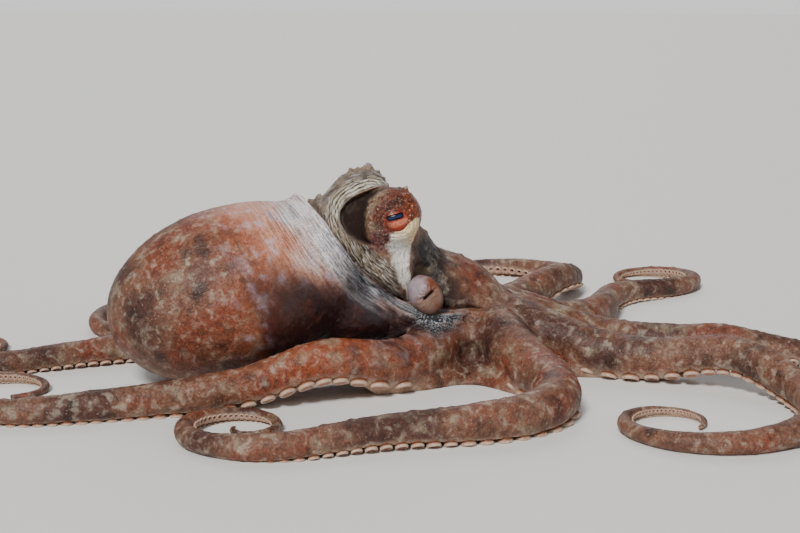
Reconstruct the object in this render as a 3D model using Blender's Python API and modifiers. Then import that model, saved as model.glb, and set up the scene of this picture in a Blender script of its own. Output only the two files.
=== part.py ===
"""Common octopus, resting on the floor, at life size.

The frame is the animal's own: +X runs forwards from the mantle to the arms, -Y is its right side
and +Z is up. The floor is z = 0 and the origin lies on it, in the middle of the ring of arms. All
sizes below are in millimetres and become metres when a mesh is made.
"""
import math

import bmesh
import bpy
import numpy as np
from mathutils import Matrix, Vector

MM = 0.001
GAP = 0.3                       # clearance between neighbouring parts

# Mantle: the sac behind the head. Its collar holds the neck, and on each side a lobe of its lip
# reaches forwards under the funnel, the longer one on the right.
MANTLE_CENTRE = (-111.0, 0.0, 39.3)
MANTLE_RADII = (61.0, 43.0, 40.0)
MANTLE_PITCH = -10.0            # degrees, nose up
COLLAR_CENTRE = (-78.0, 0.0, 53.0)
COLLAR_RADII = (23.0, 36.0, 29.5)
BELLY_CENTRE = (-66.0, 0.0, 28.0)
BELLY_RADII = (38.0, 33.0, 19.0)
LOBE_CENTRE = (-44.0, 10.0, 28.0)     # y is measured outwards on both sides
LOBE_RADII = (38.0, 21.0, 9.5)
LOBE_YAW = 30.0
LEFT_LOBE_BACK = 8.0                # how much further back the left lobe ends
# Side view of the room in front of the mantle. Its back is the mantle's free edge, from the nape
# down and forwards to the lip under the funnel
EDGE = [(-90, 130), (-84, 92), (-81, 80), (-76, 69), (-68, 57), (-57, 46), (-43, 36),
        (-32, 31), (14, 29), (14, 130)]

# Head
HEAD_CENTRE = (-48.0, 0.0, 52.0)
HEAD_RADII = (30.0, 28.0, 22.0)
NAPE_CENTRE = (-57.5, 0.0, 67.0)
NAPE_RADII = (16.5, 27.0, 27.5)
NAPE_PITCH = 20.0               # degrees, top leaning forwards
EYE_CENTRE = (-46.0, 22.0, 74.0)  # y is measured outwards on both sides
EYE_AXIS = (-0.13, 0.98, 0.0)
BULGE_RADIUS = 13.6
STALK_RADII = (13.0, 10.0, 15.0)
STALK_OFFSET = (1.0, -4.0, -11.0)   # centre of the flesh under an eye, from the eye's centre
BALL_RADIUS = 9.4
BALL_OUT = 2.4                  # eyeball centre beyond the bulge's centre, along the eye's axis
LID_OPENING = 5.4               # radius of the opening between the lids
LID_DEPTH = 4.0                 # how far that opening reaches in from the front of the eyeball
BALL_SEGMENTS = 14
BALL_RINGS = 9

# Funnel, a soft tube that leaves the mantle's opening on the right side
FUNNEL_LINE = [(-42.0, -8.0, 35.0), (-34.0, -17.0, 36.0), (-31.5, -27.0, 37.5), (-32.8, -34.0, 38.8),
               (-33.8, -37.5, 39.4), (-34.2, -38.9, 39.7)]
FUNNEL_RADII = [9.5, 9.2, 8.5, 7.6, 5.4, 2.0]
FUNNEL_SIDES = 12

# Crown of the arms
CROWN_CENTRE = (-12.0, 0.0, 32.0)
CROWN_RADII = (34.0, 29.0, 20.0)
CROWN_PITCH = 24.0              # degrees, nose down
CROWN_HEIGHT = 22.0             # height of the arms' centre lines where they meet
ROOT_OUT = 12.0                 # first point of an arm, from the crown's centre
WEB_REACH = 0.21                # share of an arm that the web reaches along it
WEB_CURVE = 0.42                # how far the web's free edge is drawn in between two arms
WEB_EDGE = 2.4                  # thickness of that free edge
WEB_FALL = 1.4                  # how early the web falls away from the crown
WEB_SLACK = 0.7                 # how sharply it hangs between two arms
WEB_BOTTOM = -2.0               # the skirt runs on to here and is trimmed at the floor

# Side view of the cut between the head, above, and the arm crown, below
CROWN_CUT = [(-106, 28.5), (-32, 28.5), (0, 47), (34, 90)]
BODY_TOP = 160.0                # a height over the whole body
FLOOR_DEPTH = 30.0              # thickness of the block that trims the undersides
REACH = 500.0                   # a distance beyond the whole body, from the middle
SLAB = 220.0                    # half width of a slab that parts the body

# Arms: heading at the root in degrees, length, radius at the root, bends as (from, to, degrees)
# along the arm, and the coil at the tip as (start, radians for each e-fold, share wound up)
TIP_RADIUS = 1.2
ARMS = {
    "arm_right_1": (-16, 320, 11.0, [(0.08, 0.34, -34), (0.30, 0.60, 70)], (0.44, -3.9, 0.87)),
    "arm_right_2": (-50, 360, 12.0, [(0.08, 0.30, 14), (0.24, 0.50, -72)], (0.46, -3.6, 0.87)),
    "arm_right_3": (-88, 375, 12.5, [(0.16, 0.42, -100), (0.42, 0.60, 14)], (0.58, -4.3, 0.88)),
    "arm_right_4": (-132, 370, 12.5, [(0.05, 0.24, -48), (0.30, 0.50, -4)], (0.56, -3.5, 0.86)),
    "arm_left_1": (16, 320, 11.0, [(0.10, 0.36, 42), (0.34, 0.60, -76)], (0.50, 4.0, 0.87)),
    "arm_left_2": (54, 360, 12.0, [(0.10, 0.34, -26), (0.30, 0.56, 74)], (0.50, 3.5, 0.86)),
    "arm_left_3": (92, 370, 12.5, [(0.14, 0.36, 66), (0.36, 0.60, 18)], (0.56, 4.2, 0.87)),
    "arm_left_4": (134, 370, 11.5, [(0.05, 0.24, 46), (0.30, 0.50, 6)], (0.56, -3.7, 0.86)),
}
RING = ["arm_right_4", "arm_right_3", "arm_right_2", "arm_right_1",
        "arm_left_1", "arm_left_2", "arm_left_3", "arm_left_4"]
ARM_CUTS = [0.23, 0.47, 0.72, 1.0]      # shares of the arm where its lengths are parted
LENGTH_NAMES = ["upper", "middle", "tip"]
LENGTH_RINGS = [5, 7, 11]
ARM_SIDES = 8
ROOT_RINGS = 12
ROOT_SIDES = 16
ROOT_STUB = 10.0                # the roots run on this far and are trimmed square
END_BOX = (26.0, 36.0, 60.0)    # the block that trims one root
STRAIGHT_END = 0.6              # straight run at each end of a length
DROP_SHARE = 0.19               # share of an arm over which it comes down to the floor
BEND_WINDOW = 25                # steps over which the bends are evened out
ARM_RISE = math.cos(math.pi / ARM_SIDES)    # height of a centre line over its flat, in radii
HUMPS = {"arm_right_1": (0.36, 5.0), "arm_right_2": (0.33, 7.0), "arm_right_4": (0.25, 8.0),
         "arm_left_2": (0.35, 6.0), "arm_left_4": (0.24, 4.0)}
HUMP_WIDTH = 0.075
ROOM = 0.95                     # clearance that a fused neighbour leaves round a part
SOCKET_ROOM = 0.4               # clearance of an eyeball in its socket
FLAT_SNAP = 0.1                 # an underside this near the floor lies on it

# Fineness of the fused surfaces
VOXEL = 1.8
FILLET = 3.2
BODY_FACES = 2600
MANTLE_FACES = 950

SKIN = (0.42, 0.25, 0.17)
PALE_SKIN = (0.62, 0.55, 0.47)
IRIS = (0.55, 0.12, 0.03)


def smooth_step(x, lo, hi):
    t = np.clip((x - lo) / (hi - lo), 0.0, 1.0)
    return t * t * (3.0 - 2.0 * t)


def make_collection(name):
    made = bpy.data.collections.new(name)
    bpy.context.scene.collection.children.link(made)
    return made


def make_material(name, colour, roughness):
    made = bpy.data.materials.new(name)
    made.use_nodes = True
    shader = made.node_tree.nodes["Principled BSDF"]
    shader.inputs["Base Color"].default_value = (*colour, 1.0)
    shader.inputs["Roughness"].default_value = roughness
    shader.inputs["Metallic"].default_value = 0.0
    return made


def add_object(name, mesh, collection):
    made = bpy.data.objects.new(name, mesh)
    collection.objects.link(made)
    return made


def hide_guide(obj):
    """A cutter or a guide shows as wire and is never rendered."""
    obj.hide_render = True
    obj.display_type = "WIRE"


def mesh_from_bmesh(name, bm):
    mesh = bpy.data.meshes.new(name)
    bm.to_mesh(mesh)
    bm.free()
    return mesh


def evaluated_mesh(obj):
    graph = bpy.context.evaluated_depsgraph_get()
    return bpy.data.meshes.new_from_object(obj.evaluated_get(graph))


def ellipsoid(centre, radii, pitch=0.0, yaw=0.0, segments=32, rings=20):
    bm = bmesh.new()
    bmesh.ops.create_uvsphere(bm, u_segments=segments, v_segments=rings, radius=1.0)
    turn = Matrix.Rotation(math.radians(yaw), 4, "Z") @ Matrix.Rotation(math.radians(pitch), 4, "Y")
    size = Matrix.Diagonal((*[r * MM for r in radii], 1.0))
    place = Matrix.Translation(Vector(centre) * MM)
    bm.transform(place @ turn @ size)
    return mesh_from_bmesh("ellipsoid", bm)


def block(outline, depth):
    """A slab whose side view is the outline of (x, z) points, depth wide each way along Y."""
    bm = bmesh.new()
    corners = [bm.verts.new(Vector((x, -depth, z)) * MM) for x, z in outline]
    face = bm.faces.new(corners)
    swept = bmesh.ops.extrude_face_region(bm, geom=[face])
    moved = [v for v in swept["geom"] if isinstance(v, bmesh.types.BMVert)]
    bmesh.ops.translate(bm, verts=moved, vec=(0.0, 2.0 * depth * MM, 0.0))
    bmesh.ops.recalc_face_normals(bm, faces=bm.faces)
    return mesh_from_bmesh("block", bm)


def tube(points, radii, sides):
    """A tube along the points, closed at both ends and with a flat side below, as one closed mesh."""
    curve = bpy.data.curves.new("tube", "CURVE")
    curve.dimensions = "3D"
    curve.twist_mode = "Z_UP"
    curve.bevel_depth = MM
    curve.bevel_resolution = sides // 2 - 2
    curve.use_fill_caps = True
    spline = curve.splines.new("POLY")
    spline.points.add(len(points) - 1)
    for knot, place, radius in zip(spline.points, points, radii):
        knot.co = (*(Vector(place) * MM), 1.0)
        knot.radius = radius
        knot.tilt = math.pi / sides
    guide = bpy.data.objects.new("tube", curve)
    bpy.context.scene.collection.objects.link(guide)
    mesh = evaluated_mesh(guide)
    bpy.data.objects.remove(guide)
    bm = bmesh.new()
    bm.from_mesh(mesh)
    bmesh.ops.remove_doubles(bm, verts=bm.verts, dist=0.01 * MM)
    bmesh.ops.recalc_face_normals(bm, faces=bm.faces)
    return mesh_from_bmesh("tube", bm)


def merged(name, meshes):
    bm = bmesh.new()
    for mesh in meshes:
        bm.from_mesh(mesh)
    return mesh_from_bmesh(name, bm)


def arm_radius(name, share):
    root = ARMS[name][2]
    return TIP_RADIUS + (root - TIP_RADIUS) * (1.0 - share)


def arm_line(name, count=401):
    """The centre line of an arm: the shares along it and its points."""
    heading, length, root, bends, (coil_start, coil_rate, wound) = ARMS[name]
    share = np.linspace(0.0, 1.0, count)
    turn = np.full(count, math.radians(heading))
    for lo, hi, degrees in bends:
        turn += math.radians(degrees) * smooth_step(share, lo, hi)
    turn -= coil_rate * np.log(1.0 - wound * np.clip((share - coil_start) / (1.0 - coil_start), 0, 1))
    turn = np.pad(turn, BEND_WINDOW // 2, mode="edge")
    turn = np.convolve(turn, np.ones(BEND_WINDOW) / BEND_WINDOW, "valid")
    middle = (turn[1:] + turn[:-1]) / 2.0
    step = length / (count - 1)
    x = ROOT_OUT * math.cos(turn[0]) + np.append(0.0, np.cumsum(np.cos(middle) * step))
    y = ROOT_OUT * math.sin(turn[0]) + np.append(0.0, np.cumsum(np.sin(middle) * step))
    z = ARM_RISE * arm_radius(name, share)
    z += (CROWN_HEIGHT - z[0]) * (1.0 - smooth_step(share, 0.0, DROP_SHARE))
    if name in HUMPS:
        at, height = HUMPS[name]
        z += height * np.exp(-((share - at) / HUMP_WIDTH) ** 2)
    return share, np.stack([x, y, z], axis=1)


def point_on(line, share):
    along, points = line
    return np.array([np.interp(share, along, points[:, k]) for k in range(3)])


def arm_stretch(name, start, end, rings):
    """Points and radii of a stretch, with a short straight run at each end so the ends are square."""
    line = arm_line(name)
    near = STRAIGHT_END / ARMS[name][1]
    shares = np.concatenate([[start], np.linspace(start + near, end - near, rings), [end]])
    points = [point_on(line, share) for share in shares]
    radii = [arm_radius(name, share) for share in shares]
    return points, radii


def web_sheet(first, second):
    """The web between two neighbouring arms, a skirt that thins towards its free edge."""
    lines = [arm_line(first), arm_line(second)]
    along, across = 9, 8
    bm = bmesh.new()
    bmesh.ops.create_grid(bm, x_segments=along, y_segments=across, size=1.0)
    for vert in bm.verts:
        out, side = (vert.co.x + 1.0) / 2.0, (vert.co.y + 1.0) / 2.0
        drawn_in = 1.0 - WEB_CURVE * math.sin(math.pi * side)
        share = WEB_REACH * out * drawn_in
        ends = [point_on(line, share) for line in lines]
        place = ends[0] * (1.0 - side) + ends[1] * side
        slack = math.sin(math.pi * side) ** WEB_SLACK
        low = WEB_EDGE + (CROWN_HEIGHT - WEB_EDGE) * (1.0 - out) ** WEB_FALL
        height = place[2] * (1.0 - slack) + low * slack
        vert.co = Vector((place[0], place[1], height)) * MM
    swept = bmesh.ops.extrude_face_region(bm, geom=bm.faces[:])
    for item in swept["geom"]:
        if isinstance(item, bmesh.types.BMVert):
            item.co.z = WEB_BOTTOM * MM
    bmesh.ops.recalc_face_normals(bm, faces=bm.faces)
    return mesh_from_bmesh("web", bm)


def fuse(name, meshes, faces, collection, grow=0.0):
    """Fuse overlapping meshes into one soft body with filleted joints and the given face count.

    The body is larger all over by the distance to grow, as a cutter that leaves room round it is.
    """
    body = add_object(name, merged(name, meshes), collection)
    for amount in (FILLET, grow - FILLET):
        remesh = body.modifiers.new("Fuse", "REMESH")
        remesh.mode = "VOXEL"
        remesh.voxel_size = VOXEL * MM
        fillet = body.modifiers.new("Fillet", "DISPLACE")
        fillet.mid_level = 0.0
        fillet.strength = amount * MM
    remesh = body.modifiers.new("Fuse", "REMESH")
    remesh.mode = "VOXEL"
    remesh.voxel_size = VOXEL * MM
    remesh.use_smooth_shade = True
    soften = body.modifiers.new("Soften", "SMOOTH")
    soften.factor = 0.5
    soften.iterations = 6
    dense = evaluated_mesh(body)
    dense.calc_loop_triangles()
    thin = body.modifiers.new("Thin out", "DECIMATE")
    thin.ratio = faces / len(dense.loop_triangles)
    return body


def cut(obj, cutter, operation="DIFFERENCE"):
    boolean = obj.modifiers.new(operation.title(), "BOOLEAN")
    boolean.operation = operation
    boolean.object = cutter
    return boolean


def finish(obj, material):
    obj.data.materials.clear()
    obj.data.materials.append(material)
    obj.data.shade_smooth()


def mirrored(point, side):
    return (point[0], point[1] * side, point[2])


def make_mantle(name, collection, guides, grow=0.0):
    """The mantle, cut off at its free edge."""
    pieces = [
        ellipsoid(MANTLE_CENTRE, MANTLE_RADII, MANTLE_PITCH),
        ellipsoid(COLLAR_CENTRE, COLLAR_RADII),
        ellipsoid(BELLY_CENTRE, BELLY_RADII),
    ]
    for side in (-1, 1):
        x, y, z = LOBE_CENTRE
        back = LEFT_LOBE_BACK if side > 0 else 0.0
        pieces.append(ellipsoid((x - back, y * side, z), LOBE_RADII, 0.0, LOBE_YAW * side))
    mantle = fuse(name, pieces, MANTLE_FACES, collection, grow)
    outline = [(x + grow, z + grow) for x, z in EDGE]
    opening = add_object(name + "_opening", block(outline, SLAB), guides)
    hide_guide(opening)
    cut(mantle, opening)
    return mantle


def make_body(guides):
    """The head, the arm crown, the arm roots and the web as one mass, before it is parted."""
    pieces = [
        ellipsoid(HEAD_CENTRE, HEAD_RADII),
        ellipsoid(NAPE_CENTRE, NAPE_RADII, NAPE_PITCH),
        ellipsoid(CROWN_CENTRE, CROWN_RADII, CROWN_PITCH),
    ]
    for side in (-1, 1):
        centre = Vector(mirrored(EYE_CENTRE, side))
        pieces.append(ellipsoid(centre, (BULGE_RADIUS,) * 3))
        pieces.append(ellipsoid(centre + Vector(mirrored(STALK_OFFSET, side)), STALK_RADII))
    for name in RING:
        stub = ROOT_STUB / ARMS[name][1]
        points, radii = arm_stretch(name, 0.0, ARM_CUTS[0] + stub, ROOT_RINGS)
        pieces.append(tube(points, radii, ROOT_SIDES))
    for first, second in zip(RING, RING[1:]):
        pieces.append(web_sheet(first, second))
    body = fuse("body", pieces, BODY_FACES, guides)
    hide_guide(body)
    return body


def make_eyeball(name, side, collection, grow=0.0):
    centre = Vector(mirrored(EYE_CENTRE, side))
    axis = Vector(mirrored(EYE_AXIS, side)).normalized()
    radii = (BALL_RADIUS + grow,) * 3
    mesh = ellipsoid(centre + axis * BALL_OUT, radii, segments=BALL_SEGMENTS, rings=BALL_RINGS)
    return add_object(name, mesh, collection)


def lid_openings(guides):
    """A short rod on each eye's axis, which opens the lids over the eyeball."""
    rods = []
    for side in (-1, 1):
        centre = Vector(mirrored(EYE_CENTRE, side))
        axis = Vector(mirrored(EYE_AXIS, side)).normalized()
        bm = bmesh.new()
        bmesh.ops.create_cone(bm, cap_ends=True, segments=20, radius1=LID_OPENING * MM,
                              radius2=LID_OPENING * MM, depth=BULGE_RADIUS * MM)
        turn = axis.to_track_quat("Z", "X").to_matrix().to_4x4()
        middle = centre + axis * (BALL_OUT + BALL_RADIUS - LID_DEPTH + BULGE_RADIUS / 2.0)
        bm.transform(Matrix.Translation(middle * MM) @ turn)
        rods.append(mesh_from_bmesh("rod", bm))
    cutter = add_object("lid_openings", merged("lid_openings", rods), guides)
    hide_guide(cutter)
    return cutter


def make_funnel(name, collection, grow=0.0):
    """A blunt tube whose end is drawn in to a rounded mouth."""
    last, before = Vector(FUNNEL_LINE[-1]), Vector(FUNNEL_LINE[-2])
    line = FUNNEL_LINE[:-1] + [last + (last - before).normalized() * grow]
    radii = [radius + grow for radius in FUNNEL_RADII]
    return add_object(name, tube(line, radii, FUNNEL_SIDES), collection)


def arm_ends(guides):
    """One box past the end of each arm root, which trims the roots square."""
    boxes = []
    for name in RING:
        line = arm_line(name)
        at = Vector(point_on(line, ARM_CUTS[0]))
        ahead = Vector(point_on(line, ARM_CUTS[0] + 0.004))
        tangent = (ahead - at).normalized()
        turn = tangent.to_track_quat("X", "Z").to_matrix().to_4x4()
        bm = bmesh.new()
        bmesh.ops.create_cube(bm, size=1.0)
        size = Matrix.Diagonal((*(Vector(END_BOX) * MM), 1.0))
        place = Matrix.Translation((at + tangent * (END_BOX[0] / 2.0 - GAP)) * MM)
        bm.transform(place @ turn @ size)
        boxes.append(mesh_from_bmesh("box", bm))
    cutter = add_object("arm_ends", merged("arm_ends", boxes), guides)
    hide_guide(cutter)
    return cutter


def make_floor(guides):
    bm = bmesh.new()
    bmesh.ops.create_cube(bm, size=1.0)
    size = Matrix.Diagonal((*(Vector((2.0 * REACH, 2.0 * REACH, FLOOR_DEPTH)) * MM), 1.0))
    bm.transform(Matrix.Translation((0.0, 0.0, -FLOOR_DEPTH / 2.0 * MM)) @ size)
    floor = add_object("floor_cut", mesh_from_bmesh("floor_cut", bm), guides)
    hide_guide(floor)
    return floor


def make_arm(name, parts):
    """The free lengths of an arm, each lying on its flat underside."""
    made = []
    clear = GAP / ARMS[name][1]
    for k, length_name in enumerate(LENGTH_NAMES):
        start, end = ARM_CUTS[k], ARM_CUTS[k + 1]
        last = end - clear if end < 1.0 else end
        points, radii = arm_stretch(name, start, last, LENGTH_RINGS[k])
        mesh = tube(points, radii, ARM_SIDES)
        for vert in mesh.vertices:
            if vert.co.z < FLAT_SNAP * MM:
                vert.co.z = 0.0
        made.append(add_object(f"{name}_{length_name}", mesh, parts))
    return made


def main():
    for obj in list(bpy.data.objects):
        bpy.data.objects.remove(obj)
    parts = make_collection("common_octopus")
    guides = make_collection("cutters")
    skin = make_material("skin", SKIN, 0.45)
    pale = make_material("pale_skin", PALE_SKIN, 0.42)
    iris = make_material("eye", IRIS, 0.12)

    floor = make_floor(guides)
    rooms = [
        make_mantle("mantle_room", guides, guides, ROOM),
        make_funnel("funnel_room", guides, ROOM),
    ]
    sockets = [make_eyeball(name, side, guides, SOCKET_ROOM)
               for name, side in (("socket_right", -1), ("socket_left", 1))]
    for guide in rooms + sockets:
        hide_guide(guide)

    funnel = make_funnel("funnel", parts)
    eyes = [make_eyeball(name, side, parts) for name, side in (("eye_right", -1), ("eye_left", 1))]
    mantle = make_mantle("mantle", parts, guides)
    cut(mantle, rooms[1])
    cut(mantle, floor)

    mass = evaluated_mesh(make_body(guides))
    head = add_object("head", mass.copy(), parts)
    crown = add_object("arm_crown", mass.copy(), parts)
    (back, back_height), (front, front_height) = CROWN_CUT[0], CROWN_CUT[-1]
    above_edge = CROWN_CUT + [(front, BODY_TOP), (back, BODY_TOP)]
    below_edge = [(x, z - GAP) for x, z in CROWN_CUT]
    below_edge += [(REACH, front_height - GAP), (REACH, -FLOOR_DEPTH)]
    below_edge += [(-REACH, -FLOOR_DEPTH), (-REACH, back_height - GAP)]
    above = add_object("above_crown", block(above_edge, SLAB), guides)
    below = add_object("below_head", block(below_edge, SLAB), guides)
    hide_guide(above)
    hide_guide(below)
    cut(head, above, "INTERSECT")
    cut(crown, below, "INTERSECT")
    for obj in (head, crown):
        for room in rooms:
            cut(obj, room)
    for socket in sockets:
        cut(head, socket)
    cut(head, lid_openings(guides))
    cut(crown, floor)
    cut(crown, arm_ends(guides))

    finish(mantle, skin)
    finish(head, skin)
    finish(crown, skin)
    finish(funnel, pale)
    for eye in eyes:
        finish(eye, iris)
    for name in RING:
        for obj in make_arm(name, parts):
            finish(obj, skin)


main()
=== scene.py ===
"""Looks of the common octopus, resting on the floor, at life size.

One skin covers the whole body. It is fused from the same rounded masses as the solids and then
shaped point by point in millimetres. The eyes, the funnel and the suckers are pieces of their own.
The frame is the animal's: +X runs forwards from the mantle to the arms, -Y is its right side.
"""

import math

import bmesh
import bpy
import numpy as np
from mathutils import Matrix, Vector
from mathutils.kdtree import KDTree


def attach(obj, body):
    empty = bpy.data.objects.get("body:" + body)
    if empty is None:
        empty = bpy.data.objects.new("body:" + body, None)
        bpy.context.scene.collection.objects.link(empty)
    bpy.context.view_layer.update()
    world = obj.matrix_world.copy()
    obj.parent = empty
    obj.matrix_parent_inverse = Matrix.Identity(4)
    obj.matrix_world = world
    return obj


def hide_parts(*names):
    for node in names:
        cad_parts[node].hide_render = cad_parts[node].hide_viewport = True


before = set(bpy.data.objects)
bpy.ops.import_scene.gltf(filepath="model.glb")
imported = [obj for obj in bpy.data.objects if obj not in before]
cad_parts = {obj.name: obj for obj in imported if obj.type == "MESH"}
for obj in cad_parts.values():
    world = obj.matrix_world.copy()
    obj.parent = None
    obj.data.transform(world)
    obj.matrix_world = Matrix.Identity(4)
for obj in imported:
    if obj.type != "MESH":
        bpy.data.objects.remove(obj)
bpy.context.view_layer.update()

MM = 0.001

# Mantle: its main mass, the collar and the belly, each by centre, radii and pitch
MANTLE_MASSES = [((-111.0, 0.0, 39.3), (61.0, 43.0, 40.0), -10.0),
                 ((-78.0, 0.0, 53.0), (23.0, 36.0, 29.5), 0.0),
                 ((-66.0, 0.0, 28.0), (38.0, 33.0, 19.0), 0.0)]
# A lobe of its edge reaches forwards on each side below the head
LOBE_CENTRE = (-44.0, 10.0, 28.0)
LOBE_RADII = (38.0, 21.0, 9.5)
LOBE_YAW = 30.0
LEFT_LOBE_BACK = 8.0
# The free edge in side view, as X and Z
EDGE = [(-90, 130), (-84, 92), (-81, 80), (-76, 69), (-68, 57), (-57, 46), (-43, 36), (-32, 31), (14, 29)]
EDGE_CORNER = (14, 130)         # closes the outline of what is cut away

# Head: its main mass, the nape, the neck and the crown of the arms
HEAD_MASSES = [((-48.0, 0.0, 52.0), (30.0, 28.0, 22.0), 0.0),
               ((-57.5, 0.0, 67.0), (16.5, 27.0, 27.5), 20.0),
               ((-73.0, 0.0, 60.0), (14.0, 23.0, 20.5), 0.0),
               ((-12.0, 0.0, 32.0), (34.0, 29.0, 20.0), 24.0)]
EYE_CENTRE = (-46.0, 22.0, 74.0)
EYE_AXIS = (-0.13, 0.98, 0.0)
BULGE_RADIUS = 13.6
STALK_RADII = (13.0, 10.0, 15.0)
STALK_OFFSET = (1.0, -4.0, -11.0)
BALL_RADIUS = 9.4
BALL_OUT = 2.4                  # how far out the eyeball's middle lies from the bulge's
LID_OPENING = 5.4
LID_DEPTH = 3.0                 # how deep the skin is pushed in behind the lids
LID_UPPER = 1.36                # the upper lid stands this many times nearer to the middle
LID_SINK = 1.4                  # how far the lids dip towards the eyeball
LID_SPOKES = 26
# Ring folds round the lids: distance from the eye's axis, width and height
LID_FOLDS = [(5.7, 0.45, 0.20), (6.6, 0.4, -0.20), (7.7, 0.5, 0.14), (8.8, 0.4, -0.16), (10.2, 0.5, -0.12)]

# Eyes: a bar pupil sunk in the iris, its place counted forwards and up from the eye's axis
PUPIL_HALF = (3.8, 1.3)
PUPIL_PLACE = (-1.0, 1.35)
PUPIL_TILT = 15.0
PUPIL_DEPTH = 0.8
PUPIL_DOME = 0.35               # how far the pupil's middle stands up again
# The rim where pupil and iris meet: size beside the bar's, and the share of the depth left there
PUPIL_RIM = [(1.0, 0.85), (1.01, 0.4), (1.03, 0.05), (1.08, -0.12), (1.16, -0.10)]
PUPIL_SQUARE = 5.0              # how square its corners are; 2 would be an ellipse
IRIS_EDGE = 7.8
IRIS_BULGE = 0.5
EYE_SIDES = 96

# Funnel: a soft tube whose mouth is a slit in a rounded oval end
FUNNEL_LINE = [(-34.0, -8.0, 35.5), (-31.5, -17.0, 36.2), (-31.8, -26.0, 37.6), (-33.4, -32.0, 38.6)]
FUNNEL_TIP = (-35.0, -38.9, 39.8)
FUNNEL_HALF = (7.5, 9.4)        # half the oval's width and length
FUNNEL_TURN = -60.0             # direction of its length in the picture plane
FUNNEL_SIDES = 96
SLIT_HALF = 2.9
SLIT_TURN = 43.0
SLIT_PLACE = (0.5, 0.4)

# Suckers, as shares of the arm's radius where they sit
SUCKER_TURN = 36.0              # angle of each of the two rows from the middle of the sucker side
SUCKER_LEAN = 22.0
SUCKER_SIZE = 0.40
SUCKER_PITCH = 0.90
SUCKER_REACH = (0.15, 0.975)    # first and last share along the arm
# A cup's radius and height, from its foot over the rim and down into it
SUCKER_CUP = [(0.60, -0.30), (0.88, 0.06), (1.00, 0.34), (0.97, 0.50), (0.85, 0.58), (0.62, 0.48),
              (0.40, 0.34), (0.24, 0.14), (0.20, -0.10)]
SUCKER_SIDES = 12

# Crown and arms
CROWN_HEIGHT = 22.0
ROOT_OUT = 12.0
WEB_REACH = 0.21                # share of an arm that the web goes along
WEB_CURVE = 0.42                # how far its free edge is drawn in between two arms
WEB_EDGE = 2.4                  # its height there
WEB_FALL = 1.4
WEB_SLACK = 0.7
WEB_BOTTOM = -2.0
TIP_RADIUS = 1.2
# Each arm's heading in degrees, its length, the radius of its root, its bends as the shares from and
# to and the degrees, and its coil: the share where it starts, its rate and how far it is wound
ARMS = {
    "arm_right_1": (-16, 320, 11.0, [(0.08, 0.34, -34), (0.30, 0.60, 70)], (0.44, -3.9, 0.87)),
    "arm_right_2": (-50, 360, 12.0, [(0.08, 0.30, 14), (0.24, 0.50, -72)], (0.46, -3.6, 0.87)),
    "arm_right_3": (-88, 375, 12.5, [(0.16, 0.42, -100), (0.42, 0.60, 14)], (0.58, -4.3, 0.88)),
    "arm_right_4": (-132, 370, 12.5, [(0.05, 0.24, -48), (0.30, 0.50, -4)], (0.56, -3.5, 0.86)),
    "arm_left_1": (16, 320, 11.0, [(0.10, 0.36, 42), (0.34, 0.60, -76)], (0.50, 4.0, 0.87)),
    "arm_left_2": (54, 360, 12.0, [(0.10, 0.34, -26), (0.30, 0.56, 74)], (0.50, 3.5, 0.86)),
    "arm_left_3": (92, 370, 12.5, [(0.14, 0.36, 66), (0.36, 0.60, 18)], (0.56, 4.2, 0.87)),
    "arm_left_4": (134, 370, 11.5, [(0.05, 0.24, 46), (0.30, 0.50, 6)], (0.56, -3.7, 0.86)),
}
RING = ["arm_right_4", "arm_right_3", "arm_right_2", "arm_right_1",
        "arm_left_1", "arm_left_2", "arm_left_3", "arm_left_4"]
ROOT_END = 0.26                 # share of an arm that the fused body holds
ARM_RISE = math.cos(math.pi / 8.0)
# Where an arm rises off the floor: the share along it, and by how much
HUMPS = {"arm_right_1": (0.36, 5.0), "arm_right_2": (0.33, 7.0), "arm_right_4": (0.25, 8.0),
         "arm_left_2": (0.35, 6.0), "arm_left_4": (0.24, 4.0)}
HUMP_WIDTH = 0.075
DROP_SHARE = 0.19               # share along an arm where it has come down from the crown
BEND_WINDOW = 25                # points over which its turns are evened out
ORAL_FLAT = 0.72                # depth of the flat oral side, in radii from the centre line
FLAT_BEND = 1.25
ARM_SIDES = 24
ARM_POINTS = 401
ROLL_WAVE = 12.0                # degrees by which the sucker side sways along an arm
ROLL_COIL = 62.0                # and by which it turns to the inside of the coil

# Fineness
BODY_VOXEL = 1.8
SKIN_VOXEL = 0.85
FILLET = 3.2                    # radius of the soft joints between the masses

# Finer skin: the head and the front of the mantle, and again round the eyes
HEAD_REGION = ((-100.0, -2.0), (20.0, 110.0))      # from and to, along X and Z
EYE_REGION = 10.5               # distance from the middle of the eye's opening

# Reach and softness of the marks
MANTLE_REACH = 38.0             # how much further back than the head the mantle's own colours go
PAINT_BACK = -134.0             # X where they have faded out
HEAD_ROUNDS = 4                 # rounds of evening out before the marks are shaped
BAND_SOFT = 0.8                 # half the width over which the edges of the hood's band fade

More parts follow.
